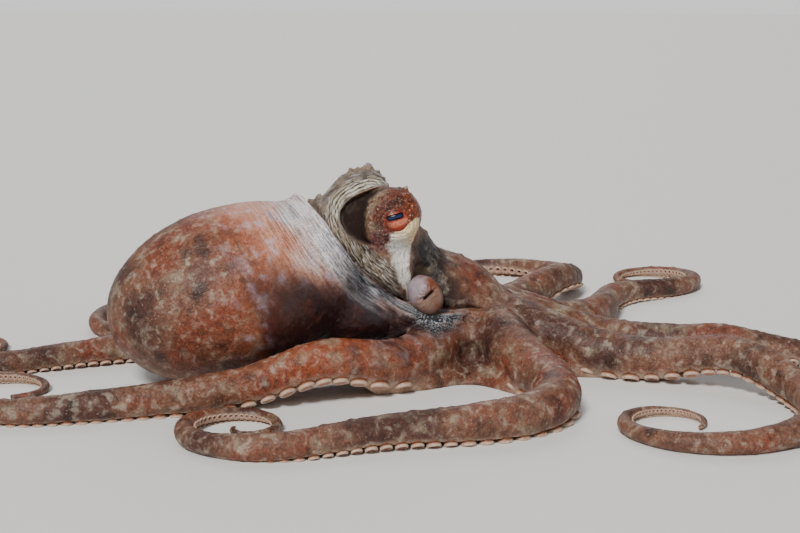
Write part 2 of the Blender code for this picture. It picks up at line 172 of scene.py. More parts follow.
# Marks of the head, in a picture plane through the right eye, square to the view: millimetres to
# the right of the eye and above it. The left side has the same marks, mirrored.
HOOD_OUTSIDE = [(6.2, -47.4), (-3.2, -42.4), (-11.8, -35.4), (-18.8, -28.8), (-24.4, -20.8),
                (-27.4, -14.9), (-30.4, -8.2), (-32.2, -1.8), (-32.9, 4.5), (-31.5, 9.5),
                (-27.9, 13.5), (-23.4, 17.1), (-18.0, 19.8), (-13.5, 20.7), (-9.9, 22.0),
                (-3.6, 18.5), (0.9, 13.1)]
HOOD_INSIDE = [(9.5, -41.0), (5.4, -36.9), (2.7, -28.8), (0.8, -22.0), (-4.2, -18.4), (-10.5, -13.6),
               (-14.5, -12.4), (-18.4, -10.0), (-22.0, -6.9), (-24.0, -2.9), (-24.0, 1.8), (-21.8, 6.0),
               (-18.3, 8.9), (-13.8, 11.1), (-9.2, 12.9), (-4.6, 14.0), (0.0, 13.9), (3.6, 12.9)]
# The hollow behind the eye, dark with painted shade: angle round the eye in degrees and radius of its
# outer edge
HOLLOW = [(94, 13.4), (109, 14.1), (126, 15.2), (142, 17.1), (155, 19.8), (166, 22.1), (176, 23.6),
          (187, 23.6), (198, 22.4), (210, 20.6), (222, 18.6), (234, 17.3), (246, 15.5)]
HOLLOW_INSIDE = [(94, 13.2), (128, 12.7), (148, 12.6), (167, 12.2), (186, 12.2), (207, 13.6), (225, 15.6),
                 (246, 15.5)]
HOLLOW_DEPTH = 5.0
FOLD_ROWS = 6.0                 # folds side by side across the band
# The cream patch from under the eye down to the funnel: depth below the eye, left and right edge
CREST = [(1.0, -1.7, 12.4), (6.3, -1.7, 11.6), (9.7, -1.9, 10.0), (13.0, -2.4, 8.4), (17.5, -1.6, 7.8),
         (24.3, 0.8, 7.8), (28.8, 2.8, 8.4), (33.3, 5.1, 8.6), (41.5, 8.0, 10.2)]
CREST_TOP = [(-1.7, -9.2), (-0.3, -8.0), (3.6, -6.9), (7.0, -4.2), (10.9, -1.0)]
SPOT_PLACE = (12.8, -24.4)      # a paler spot in the painted shade in front of the crest
SPOT_HALF = (5.0, 2.4)
# A point of the line below which the mantle is darkened by painted shade, and the line's slope
SHADE_LINE = (-54.9, -24.3, -0.32)
# The ridge from the eye down to the funnel
STREAK = [(5.5, -10.5), (6.8, -19.0), (7.4, -27.0), (6.6, -33.5), (9.6, -41.5)]

# Papillae: where each shows on the picture plane, its height and its width
PAPILLAE = [(-10.0, 22.0, 3.0, 2.0), (-13.5, 20.7, 1.2, 1.0), (-16.6, 20.2, 1.5, 1.1),
            (-19.6, 19.2, 1.4, 1.0), (-22.5, 17.8, 1.3, 1.0), (-25.0, 15.8, 1.5, 1.1),
            (-27.5, 13.8, 1.2, 0.9), (-33.0, 10.6, 2.3, 1.2), (-32.6, 4.6, 1.4, 1.0),
            (-6.0, 19.8, 0.9, 0.9), (-3.0, 17.4, 0.9, 0.8), (-0.5, 14.8, 0.8, 0.8),
            (6.3, 12.6, 2.4, 1.2), (3.2, 13.0, 0.4, 0.8), (8.8, 10.4, 0.4, 0.8)]

# Colours, as red, green and blue from 0 to 255 on a screen
# The colour named hollow stands for the hollow's painted shade over dark brown skin
SCREEN_COLOURS = {
    "brown": (118, 80, 62), "maroon": (62, 31, 28), "rust": (122, 54, 33), "orange": (164, 74, 34),
    "beige": (150, 134, 112), "cream": (232, 224, 204), "yellow": (238, 202, 124),
    "dark": (38, 24, 21), "ink": (18, 15, 18), "hollow": (34, 19, 14), "white": (220, 222, 228),
    "slate": (58, 64, 72), "peach": (208, 148, 122), "lilac": (196, 172, 184), "mauve": (100, 88, 81),
    "purple": (100, 50, 50), "sucker": (198, 170, 150), "cup": (168, 128, 112),
    "iris": (176, 62, 38), "ember": (240, 146, 112), "garnet": (84, 30, 23), "navy": (10, 14, 36),
    "sheen": (38, 62, 126), "haze": (158, 146, 156), "copper": (112, 62, 36), "umber": (48, 30, 24),
    "russet": (92, 42, 27), "ginger": (142, 66, 31), "wine": (42, 20, 19), "clay": (132, 106, 95),
}

# Moist flesh, for all materials
SHINE = 0.32
SOFTNESS = 0.10
SOFT_RADIUS = (1.0, 0.4, 0.25)  # how far red, green and blue light spread, beside the depth
SOFT_DEPTH = 2.0
RELIEF = 0.8
NOISE_RANGE = (0.3, 0.7)        # where most of a noise texture's values lie

# Camera: the eye of the right side projects to this place, in pixels of an 800 x 533 picture
VIEW_AZIMUTH = -20.0
VIEW_ELEVATION = 9.0
VIEW_DISTANCE = 700.0
LENS = 70.0
SENSOR = 36.0
PICTURE = (800, 533)
EYE_PIXEL = (392.0, 216.0)

# Lights: the direction each comes from, its spread in degrees, its strength and its colour
LIGHTS = {"key": ((-0.62, -0.70, 0.95), 16.0, 3.5, (1.0, 0.97, 0.93)),
          "fill": ((0.9, -0.8, 0.6), 60.0, 0.30, (0.95, 0.97, 1.0)),
          "rim": ((0.3, 1.0, 0.8), 40.0, 0.7, (0.97, 0.98, 1.0))}
BACKDROP_COLOUR = (0.875, 0.875, 0.87, 1.0)
BACKDROP_FADE = (0.03, 0.25, 1.10, 0.24)     # heights of view and how bright the backdrop is there
FLOOR_COLOUR = (0.78, 0.78, 0.77, 1.0)
FLOOR_RADIUS = 6.0              # in metres


def screen_colour(numbers):
    """Red, green and blue in linear light."""
    share = np.array(numbers) / 255.0
    return tuple(np.where(share < 0.04045, share / 12.92, ((share + 0.055) / 1.055) ** 2.4).tolist())


COLOURS = {name: screen_colour(numbers) for name, numbers in SCREEN_COLOURS.items()}


def ease(x, lo, hi):
    """0 before lo and 1 after hi, or the other way round where hi is the smaller."""
    t = np.clip((x - lo) / (hi - lo), 0.0, 1.0)
    return t * t * (3.0 - 2.0 * t)


def unit(vectors):
    vectors = np.asarray(vectors, float)
    return vectors / np.maximum(np.linalg.norm(vectors, axis=-1, keepdims=True), 1e-12)


def bell(x, middle, width):
    """1 at the middle, falling off softly to both sides."""
    return np.exp(-((x - middle) / width) ** 2)


def circle_angles(count):
    return np.linspace(0.0, 2.0 * math.pi, count, endpoint=False)


def along_line(at, knots, points):
    """Points between those of a line, at places counted as its knots are."""
    return np.stack([np.interp(at, knots, points[:, k]) for k in range(3)], axis=-1)


def link(name, mesh):
    made = bpy.data.objects.new(name, mesh)
    bpy.context.scene.collection.objects.link(made)
    return made


def mesh_from_bmesh(name, bm):
    mesh = bpy.data.meshes.new(name)
    bm.to_mesh(mesh)
    bm.free()
    return mesh


def evaluated_mesh(obj):
    graph = bpy.context.evaluated_depsgraph_get()
    return bpy.data.meshes.new_from_object(obj.evaluated_get(graph))


def vectors_of(items, field):
    """One vector for each vertex of a mesh, as an array."""
    flat = np.empty(len(items) * 3, np.float32)
    items.foreach_get(field, flat)
    return flat.reshape(-1, 3).astype(float)


def ellipsoid(centre, radii, pitch=0.0, yaw=0.0):
    bm = bmesh.new()
    bmesh.ops.create_uvsphere(bm, u_segments=48, v_segments=32, radius=1.0)
    turn = Matrix.Rotation(math.radians(yaw), 4, "Z") @ Matrix.Rotation(math.radians(pitch), 4, "Y")
    size = Matrix.Diagonal((*[r * MM for r in radii], 1.0))
    bm.transform(Matrix.Translation(Vector(centre) * MM) @ turn @ size)
    return mesh_from_bmesh("ellipsoid", bm)


def block(outline, depth):
    """A slab whose side view is the outline of (x, z) points, depth wide each way along Y."""
    bm = bmesh.new()
    face = bm.faces.new([bm.verts.new(Vector((x, -depth, z)) * MM) for x, z in outline])
    swept = bmesh.ops.extrude_face_region(bm, geom=[face])
    moved = [v for v in swept["geom"] if isinstance(v, bmesh.types.BMVert)]
    bmesh.ops.translate(bm, verts=moved, vec=(0.0, 2.0 * depth * MM, 0.0))
    bmesh.ops.recalc_face_normals(bm, faces=bm.faces)
    return mesh_from_bmesh("block", bm)


def grid_faces(rows, columns):
    """Quads of a grid of points whose columns close into rings."""
    here = np.arange(rows * columns).reshape(rows, columns)
    across = np.roll(here, -1, axis=1)
    return np.stack([here[:-1], across[:-1], across[1:], here[1:]], axis=-1).reshape(-1, 4)


def loft(name, rings):
    """A closed tube through rings of points, an array of (ring, point, xyz) in millimetres."""
    rows, columns, _ = rings.shape
    ends = np.stack([rings[0].mean(axis=0), rings[-1].mean(axis=0)])
    points = np.concatenate([rings.reshape(-1, 3), ends]) * MM
    faces = [tuple(face) for face in grid_faces(rows, columns).tolist()]
    first, last = rows * columns, rows * columns + 1
    for k in range(columns):
        after = (k + 1) % columns
        faces.append((first, after, k))
        faces.append((last, first - columns + k, first - columns + after))
    mesh = bpy.data.meshes.new(name)
    mesh.from_pydata(points.tolist(), [], faces)
    bm = bmesh.new()
    bm.from_mesh(mesh)
    bmesh.ops.recalc_face_normals(bm, faces=bm.faces)
    return mesh_from_bmesh(name, bm)


def merged(name, meshes):
    bm = bmesh.new()
    for mesh in meshes:
        bm.from_mesh(mesh)
    return mesh_from_bmesh(name, bm)


def remeshed(name, mesh, voxel, grow=0.0, soften=0):
    """The closed outer surface of overlapping meshes, grown by a distance and softened."""
    obj = link(name, mesh)
    fine = obj.modifiers.new("Fuse", "REMESH")
    fine.mode = "VOXEL"
    fine.voxel_size = voxel * MM
    fine.use_smooth_shade = True
    if grow:
        move = obj.modifiers.new("Grow", "DISPLACE")
        move.mid_level = 0.0
        move.strength = grow * MM
    if soften:
        smooth = obj.modifiers.new("Soften", "SMOOTH")
        smooth.factor = 0.5
        smooth.iterations = soften
    made = evaluated_mesh(obj)
    bpy.data.objects.remove(obj)
    return made


def filleted(name, meshes):
    """Overlapping meshes fused into one soft body with filleted joints."""
    mesh = remeshed(name, merged(name, meshes), BODY_VOXEL, FILLET)
    mesh = remeshed(name, mesh, BODY_VOXEL, -FILLET)
    return remeshed(name, mesh, BODY_VOXEL, 0.0, 4)


def arm_radius(name, share):
    root = ARMS[name][2]
    return TIP_RADIUS + (root - TIP_RADIUS) * (1.0 - share)


def arm_line(name):
    """The centre line of an arm: the shares along it and its points."""
    heading, length, _, bends, (coil_start, coil_rate, wound) = ARMS[name]
    share = np.linspace(0.0, 1.0, ARM_POINTS)
    turn = np.full(ARM_POINTS, math.radians(heading))
    for lo, hi, degrees in bends:
        turn += math.radians(degrees) * ease(share, lo, hi)
    turn -= coil_rate * np.log(1.0 - wound * np.clip((share - coil_start) / (1.0 - coil_start), 0, 1))
    turn = np.pad(turn, BEND_WINDOW // 2, mode="edge")
    turn = np.convolve(turn, np.ones(BEND_WINDOW) / BEND_WINDOW, "valid")
    middle = (turn[1:] + turn[:-1]) / 2.0
    step = length / (ARM_POINTS - 1)
    x = ROOT_OUT * math.cos(turn[0]) + np.append(0.0, np.cumsum(np.cos(middle) * step))
    y = ROOT_OUT * math.sin(turn[0]) + np.append(0.0, np.cumsum(np.sin(middle) * step))
    z = ARM_RISE * arm_radius(name, share)
    z += (CROWN_HEIGHT - z[0]) * (1.0 - ease(share, 0.0, DROP_SHARE))
    if name in HUMPS:
        at, height = HUMPS[name]
        z += height * bell(share, at, HUMP_WIDTH)
    return share, np.stack([x, y, z], axis=1)


def arm_roll(name, share):
    """Angle in degrees by which the sucker side turns from straight down towards the coil's inside."""
    coil_start = ARMS[name][4][0]
    wave = ROLL_WAVE * np.sin(share * 17.0 + 2.1 * RING.index(name)) * ease(share, 0.18, 0.32)
    return wave + ROLL_COIL * ease(share, coil_start - 0.10, coil_start + 0.28)


def arm_frames(name):
    """Shares, centres, tangents, oral directions and sideways directions along an arm."""
    share, centres = arm_line(name)
    tangent = unit(np.gradient(centres, axis=0))
    side = unit(np.cross([0.0, 0.0, 1.0], tangent))
    down = np.cross(side, tangent) * -1.0
    down = unit(down * np.sign(-down[:, 2:3]))
    roll = np.radians(arm_roll(name, share))[:, None]
    inwards = side * np.sign(ARMS[name][4][1])
    oral = unit(np.cos(roll) * down + np.sin(roll) * inwards)
    lateral = np.cross(tangent, oral)
    return share, centres, tangent, oral, lateral


def arm_section(angle):
    """Depth and width of an arm's outline, in radii, at angles from the middle of the sucker side."""
    deep = np.cos(angle)
    flat = ORAL_FLAT * np.tanh(deep * FLAT_BEND / ORAL_FLAT) / math.tanh(FLAT_BEND / ORAL_FLAT)
    return np.where(deep > 0.0, flat, deep), np.sin(angle)


def arm_tube(name, deep, wide, end):
    """A tube along an arm up to a share of it, with an outline of depths and widths in radii."""
    frames = arm_frames(name)
    share, centres, _, oral, lateral = (values[frames[0] < end] for values in frames)
    outline = deep[None, :, None] * oral[:, None, :] + wide[None, :, None] * lateral[:, None, :]
    return loft(name, centres[:, None, :] + arm_radius(name, share)[:, None, None] * outline)


def web_sheet(first, second):
    """The web between two neighbouring arms, a skirt that thins towards its free edge."""
    lines = [arm_line(first), arm_line(second)]
    bm = bmesh.new()
    bmesh.ops.create_grid(bm, x_segments=18, y_segments=16, size=1.0)
    for vert in bm.verts:
        out, side = (vert.co.x + 1.0) / 2.0, (vert.co.y + 1.0) / 2.0
        share = WEB_REACH * out * (1.0 - WEB_CURVE * math.sin(math.pi * side))
        ends = [along_line(share, *line) for line in lines]
        place = ends[0] * (1.0 - side) + ends[1] * side
        slack = math.sin(math.pi * side) ** WEB_SLACK
        low = WEB_EDGE + (CROWN_HEIGHT - WEB_EDGE) * (1.0 - out) ** WEB_FALL
        vert.co = Vector((place[0], place[1], place[2] * (1.0 - slack) + low * slack)) * MM
    swept = bmesh.ops.extrude_face_region(bm, geom=bm.faces[:])
    for item in swept["geom"]:
        if isinstance(item, bmesh.types.BMVert):
            item.co.z = WEB_BOTTOM * MM
    bmesh.ops.recalc_face_normals(bm, faces=bm.faces)
    return mesh_from_bmesh("web", bm)


def mirrored(point, side):
    return (point[0], point[1] * side, point[2])


def mantle_mass():
    """The mantle, cut off at its free edge."""
    pieces = [ellipsoid(*mass) for mass in MANTLE_MASSES]
    for side in (-1, 1):
        x, y, z = LOBE_CENTRE
        back = LEFT_LOBE_BACK if side > 0 else 0.0
        pieces.append(ellipsoid((x - back, y * side, z), LOBE_RADII, 0.0, LOBE_YAW * side))
    whole = link("mantle_mass", filleted("mantle", pieces))
    opening = link("mantle_opening", block(EDGE + [EDGE_CORNER], 220.0))
    cut = whole.modifiers.new("Edge", "BOOLEAN")
    cut.operation = "DIFFERENCE"
    cut.object = opening
    made = evaluated_mesh(whole)
    bpy.data.objects.remove(whole)
    bpy.data.objects.remove(opening)
    return made


def head_mass():
    """The head, the crown, the arm roots and the web as one mass."""
    pieces = [ellipsoid(*mass) for mass in HEAD_MASSES]
    for side in (-1, 1):
        centre = Vector(mirrored(EYE_CENTRE, side))
        pieces.append(ellipsoid(centre, (BULGE_RADIUS,) * 3))
        pieces.append(ellipsoid(centre + Vector(mirrored(STALK_OFFSET, side)), STALK_RADII))
    turn = circle_angles(ARM_SIDES)
    pieces += [arm_tube(name, np.cos(turn), np.sin(turn), ROOT_END) for name in RING]
    pieces += [web_sheet(first, second) for first, second in zip(RING, RING[1:])]
    return filleted("head_mass", pieces)


def refined(mesh, centre_test):
    """The mesh with each face whose centre passes the test divided into four."""
    bm = bmesh.new()
    bm.from_mesh(mesh)
    centres = np.array([face.calc_center_median() for face in bm.faces]) / MM
    chosen = np.flatnonzero(centre_test(centres))
    bm.faces.ensure_lookup_table()
    edges = {edge for k in chosen.tolist() for edge in bm.faces[k].edges}
    bmesh.ops.subdivide_edges(bm, edges=list(edges), cuts=1, use_grid_fill=True)
    return mesh_from_bmesh(mesh.name, bm)


class Skin:
    """The skin while it is shaped: its mesh, its points in millimetres and its normals."""

    def __init__(self, mesh):
        self.mesh = mesh
        self.points = vectors_of(mesh.vertices, "co") / MM
        self.normals = vectors_of(mesh.vertex_normals, "vector")
        pairs = np.empty(len(mesh.edges) * 2, np.int32)
        mesh.edges.foreach_get("vertices", pairs)
        self.pairs = pairs.reshape(-1, 2)

    def refresh(self):
        self.mesh.vertices.foreach_set("co", (self.points * MM).astype(np.float32).ravel())
        self.mesh.update()
        self.normals = vectors_of(self.mesh.vertex_normals, "vector")

    def move(self, height, chosen=slice(None)):
        """Moves each chosen point along its normal."""
        self.points[chosen] += self.normals[chosen] * height[:, None]
        self.refresh()

    def soften(self, weight, rounds, factor=0.5):
        """Evens out the points towards their neighbours, by a weight from 0 to 1."""
        count = len(self.points)
        first, second = self.pairs[:, 0], self.pairs[:, 1]
        degree = np.bincount(first, minlength=count) + np.bincount(second, minlength=count)
        for _ in range(rounds):
            for k in range(3):
                values = self.points[:, k]
                total = np.bincount(first, values[second], count)
                total += np.bincount(second, values[first], count)
                self.points[:, k] += factor * weight * (total / degree - values)
        self.refresh()


def cell_index(order, at):
    """An entry from 0 to 255 for each cell of a grid, in a shuffled order."""
    return order[(order[(order[at[:, 0] & 255] + at[:, 1]) & 255] + at[:, 2]) & 255]


def noise(points, size, seed):
    """Smooth noise from about -1 to 1, with lumps about as large as size."""
    rng = np.random.default_rng(seed)
    order = rng.permutation(256)
    slopes = unit(rng.normal(size=(256, 3)))
    place = points / size
    cell = np.floor(place).astype(int)
    part = place - cell
    fade = part ** 3 * (part * (part * 6.0 - 15.0) + 10.0)
    total = np.zeros(len(points))
    for corner in np.ndindex(2, 2, 2):
        slope = slopes[cell_index(order, cell + corner)]
        share = np.prod(np.where(corner, fade, 1.0 - fade), axis=1)
        total += share * np.einsum("ij,ij->i", slope, part - corner)
    return total * 1.7


def lumps(points, size, octaves, seed):
    """Noise with finer noise added, each octave half the size of the one before."""
    total = np.zeros(len(points))
    for k in range(octaves):
        total += noise(points, size / 2 ** k, seed + k) / 2 ** k
    return total / (2.0 - 0.5 ** (octaves - 1))


def scattered(points, size, kept, seed):
    """Distance to the nearest of many random spots, about size apart, of which a share is kept."""
    rng = np.random.default_rng(seed)
    order = rng.permutation(256)
    spots = rng.random((256, 4))
    place = points / size
    cell = np.floor(place).astype(int)
    best = np.full(len(points), 3.0)
    for corner in np.ndindex(3, 3, 3):
        at = cell + corner - 1
        index = cell_index(order, at)
        gap = np.linalg.norm(place - at - spots[index, :3], axis=1)
        best = np.minimum(best, np.where(spots[index, 3] < kept, gap, 3.0))
    return best * size


def domes(points, size, radius, kept, seed):
    """Height from 0 to 1 of small domes scattered over the skin."""
    return np.clip(1.0 - scattered(points, size, kept, seed) / radius, 0.0, 1.0)


def line_distance(places, line):
    """Distance to a drawn line of points, how far along it the nearest spot is, and the side."""
    best = np.full(len(places), np.inf)
    along = np.zeros(len(places))
    side = np.zeros(len(places))
    run = 0.0
    for start, end in zip(np.array(line[:-1], float), np.array(line[1:], float)):
        step = end - start
        length = np.hypot(*step)
        offset = places - start
        share = np.clip(offset @ step / length ** 2, 0.0, 1.0)
        gap = np.hypot(*(offset - share[:, None] * step).T)
        closer = gap < best
        best[closer] = gap[closer]
        along[closer] = run + share[closer] * length
        side[closer] = np.sign(step[0] * offset[closer, 1] - step[1] * offset[closer, 0])
        run += length
    return best, along, side


def sketch(points):
    """Where points fall on the picture plane through the right eye, the left side mirrored."""
    right, up, back = (np.array(axis) for axis in view_axes())
    place = points - np.array(mirrored(EYE_CENTRE, -1))
    place[:, 1] = -np.abs(points[:, 1]) + EYE_CENTRE[1]
    near = VIEW_DISTANCE / (VIEW_DISTANCE - place @ back)
    return np.stack([place @ right * near, place @ up * near], axis=1)


def coarse_skin():
    section = arm_section(circle_angles(ARM_SIDES))
    pieces = [mantle_mass(), head_mass()] + [arm_tube(name, *section, 2.0) for name in RING]
    mesh = remeshed("skin", merged("skin", pieces), SKIN_VOXEL, 0.0, 3)
    (low_x, high_x), (low_z, high_z) = HEAD_REGION
    mesh = refined(mesh, lambda at: (at[:, 0] > low_x) & (at[:, 0] < high_x)
                   & (at[:, 2] > low_z) & (at[:, 2] < high_z))
    centres = [np.array(mirrored(EYE_CENTRE, side)) + BULGE_RADIUS
               * unit(mirrored(EYE_AXIS, side)) for side in (-1, 1)]
    return refined(mesh, lambda at: np.minimum(*[np.linalg.norm(at - centre, axis=1)
                                                 for centre in centres]) < EYE_REGION)


def in_band(places, outside, inside):
    """Where places are in the band between two drawn lines.

    The four values are the weight of being inside it, the place across from 0 at the outer line to
    1 at the inner one, the place along the inner line, and the band's width there.
    """
    out_gap, _, out_side = line_distance(places, outside)
    in_gap, along, in_side = line_distance(places, inside)
    within = ease(-out_side * out_gap, -BAND_SOFT, BAND_SOFT)
    within *= ease(in_side * in_gap, -BAND_SOFT, BAND_SOFT)
    return within, out_gap / (out_gap + in_gap), along, out_gap + in_gap


class HeadMarks:
    """Where the points of the head and the front of the mantle lie among the marks there."""

    def __init__(self, skin):
        x, _, z = skin.points.T
        (low_x, high_x), (low_z, _) = HEAD_REGION
        self.near = np.flatnonzero((x > low_x - MANTLE_REACH) & (x < high_x) & (z > low_z - 6.0))
        self.points = skin.points[self.near]
        self.x, self.y, self.z = self.points.T
        self.side = np.where(self.y > 0.0, 1.0, -1.0)
        self.head = ease(self.x, low_x - 6.0, low_x + 2.0) * ease(self.z, low_z - 2.0, low_z + 4.0)
        self.head *= ease(self.x, high_x, high_x - 6.0)
        normals = skin.normals[self.near] * np.stack([np.ones(len(self.y)), -self.side,
                                                      np.ones(len(self.y))], axis=1)
        self.front = normals @ np.array(view_axes()[2])
        self.seen = ease(self.front, -0.15, 0.2)
        self.places = sketch(self.points)
        self.u, self.v = self.places.T
        self.angle = np.degrees(np.arctan2(self.v, self.u)) % 360.0
        self.radius = np.hypot(self.u, self.v)
        gap, self.edge_along, side = line_distance(self.points[:, [0, 2]], EDGE)
        self.ahead = gap * side
        ragged = self.lumps(7.0, 3, 35)
        lobe = ease(self.z + 8.0 * ragged, 17.0, 28.0)
        lobe *= ease(self.x + 12.0 * ragged, -9.0, -26.0)
        behind = ease(-self.ahead, 0.0, 1.0)
        back = ease(self.x + 14.0 * self.lumps(22.0, 2, 33), PAINT_BACK, PAINT_BACK + 30.0)
        self.mantle = behind * np.where(self.x < -50.0, 1.0, lobe) * back
        self.find_eye()
        self.find_folds()

    def lumps(self, size, octaves, seed):
        return lumps(self.points, size, octaves, seed)

    def noise(self, size, seed):
        return noise(self.points, size, seed)

    def find_eye(self):
        """Distance from the eye's axis, and height along it, for the eye of each point's side."""
        place = self.points - np.array(EYE_CENTRE) * np.array([1.0, 0.0, 1.0])
        place[:, 1] = np.abs(self.y) - EYE_CENTRE[1]
        axis = unit(EYE_AXIS)
        self.eye_height = place @ axis
        flat = place - self.eye_height[:, None] * axis
        self.eye_gap = np.linalg.norm(flat, axis=1)
        level, up = flat @ np.cross(axis, [0.0, 0.0, 1.0]), flat[:, 2]
        self.eye_turn = np.arctan2(up, level)
        self.lid_gap = np.hypot(level, up * np.where(up > 0.0, LID_UPPER, 1.0))
        self.eye_outer = ease(self.eye_height, 2.0, 6.0)
        self.eye_far = np.linalg.norm(place, axis=1)

    def find_folds(self):
        """The band of folds from the hood down to the funnel, and the hollow behind the eye."""
        warp = 0.5 * self.lumps(9.0, 2, 31)[:, None]
        self.band, self.across, self.fold_along, self.fold_width = in_band(
            self.places + warp, HOOD_OUTSIDE, HOOD_INSIDE)
        self.band *= self.seen * self.head
        angles, radii = np.array(HOLLOW, float).T
        outer = np.interp(self.angle, angles, radii)
        sector = ease(self.angle, angles[0], angles[1] + 4.0)
        sector *= ease(self.angle, angles[-1], angles[-2] - 6.0)
        inner_radius = np.interp(self.angle, *np.array(HOLLOW_INSIDE, float).T)
        inner = ease(self.radius - inner_radius, -1.4, 0.6)
        self.hollow = sector * inner * ease(self.radius, outer + 0.2, outer - 2.4)
        self.hollow_edge = np.where(sector * inner > 0.3, outer - self.radius, -9.0)
        self.hollow *= ease(self.front, -0.05, 0.25) * self.head
        self.crest_gap, self.crest_along, self.crest_side = line_distance(self.places, STREAK)
        depths, left, right = np.array(CREST).T
        self.crest_left = self.u - np.interp(-self.v, depths, left)
        self.crest_right = self.u - np.interp(-self.v, depths, right)

    def fold_phase(self):
        """Counts the folds across the band, with a slow wander."""
        return self.across * FOLD_ROWS + 0.45 * self.noise(7.0, 5)

    def ridged(self):
        """Where the folds are long and strong: the top of the hood, near its inner side."""
        return ease(self.across, 0.30, 0.60) * ease(self.fold_along, 48.0, 62.0)


class ArmMarks:
    """The nearest arm of each point, the share along it, and which side of the arm it is on."""

    def __init__(self, points):
        frames = [arm_frames(name) for name in RING]
        tree = KDTree(len(frames) * ARM_POINTS)
        for k, arm in enumerate(frames):
            for j, centre in enumerate(arm[1].tolist()):
                tree.insert(centre, k * ARM_POINTS + j)
        tree.balance()
        nearest = np.array([tree.find(point)[1] for point in points.tolist()])
        self.arm, at = nearest // ARM_POINTS, nearest % ARM_POINTS
        share, centres, oral, lateral = (np.stack([arm[k] for arm in frames]) for k in (0, 1, 3, 4))
        radius = np.stack([arm_radius(name, arm[0]) for name, arm in zip(RING, frames)])
        self.share = share[self.arm, at]
        self.radius = radius[self.arm, at]
        offset = points - centres[self.arm, at]
        self.gap = np.linalg.norm(offset, axis=1)
        away = unit(offset)
        self.oral = np.einsum("ij,ij->i", away, oral[self.arm, at])
        self.lateral = np.einsum("ij,ij->i", away, lateral[self.arm, at])
        self.along = self.share * np.array([ARMS[name][1] for name in RING])[self.arm]
        self.on_arm = ease(self.share, 0.10, 0.24) * ease(-self.gap, -16.0, -13.0)


def groove_rows(phase, width):
    """Narrow grooves at whole numbers of the phase, 1 at their middle."""
    return bell(phase, np.round(phase), width)


def shape_crease(skin):
    """The groove in front of the mantle's free edge, wide at the nape, and the edge's lip."""
    marks = HeadMarks(skin)
    weight = np.zeros(len(skin.points))
    weight[marks.near] = marks.head
    skin.soften(weight, HEAD_ROUNDS)
    high = ease(marks.z, 70.0, 84.0)
    width, depth = 1.3 + 2.4 * high, 2.6 + 1.6 * high
    by_funnel = ease(marks.u, -14.0, -3.0) * ease(marks.u, 14.0, 8.0) * marks.seen
    depth = depth * (1.0 - 0.6 * bell(marks.y, 0.0, 10.0)) * (1.0 - 0.85 * by_funnel)
    groove = bell(marks.ahead, 0.6 * width, 0.6 * width)
    lip = (0.7 - 1.5 * by_funnel) * bell(marks.ahead, -1.6, 1.5)
    lip += 1.8 * by_funnel * bell(marks.ahead, 3.0, 2.6)
    skin.move(marks.head * (lip - depth * groove), marks.near)


def shape_hollow(skin):
    """The hollow behind the eye, and the crest from the eye down to the funnel's pocket."""
    marks = HeadMarks(skin)
    skin.points[marks.near, 1] -= marks.side * HOLLOW_DEPTH * marks.hollow
    skin.refresh()
    crest = marks.seen * marks.head * ease(marks.crest_along, 2.0, 12.0)
    ridge = 1.7 * bell(marks.crest_gap, 0.0, 2.4)
    right = marks.crest_side * marks.crest_gap
    pocket = 3.4 * ease(right, 0.5, 4.5) * ease(right, 16.0, 9.0)
    pocket *= ease(marks.crest_along, 8.0, 20.0) * (marks.ahead > 0.0)
    skin.move(crest * (ridge - pocket), marks.near)


def shape_lids(skin):
    """The opening between the lids, their rim and the ring folds round it."""
    marks = HeadMarks(skin)
    gap = marks.lid_gap + 0.25 * np.sin(2.0 * marks.eye_turn + 0.5)
    ones = np.ones(len(gap))
    axis = unit(EYE_AXIS) * np.stack([ones, marks.side, ones], axis=1)
    opening = ease(gap, LID_OPENING + 0.1, LID_OPENING - 0.75) * marks.eye_outer
    sunk = LID_SINK * ease(marks.eye_gap, LID_OPENING + 4.5, LID_OPENING) * marks.eye_outer
    skin.points[marks.near] -= axis * (LID_DEPTH * opening + sunk)[:, None]
    skin.refresh()
    gap = gap + 1.1 * marks.lumps(4.5, 2, 12)
    height = sum(tall * bell(gap, at, wide) for at, wide, tall in LID_FOLDS)
    height *= np.clip(0.7 + 0.8 * marks.noise(3.5, 17), 0.0, 1.3)
    spokes = np.sin(LID_SPOKES * marks.eye_turn + 2.5 * marks.noise(4.0, 14))
    height += 0.07 * spokes * bell(marks.eye_gap, 7.2, 1.5)
    height += 0.16 * marks.lumps(1.7, 2, 19) * ease(marks.eye_gap, 5.0, 7.0)
    skin.move(height * marks.eye_outer, marks.near)


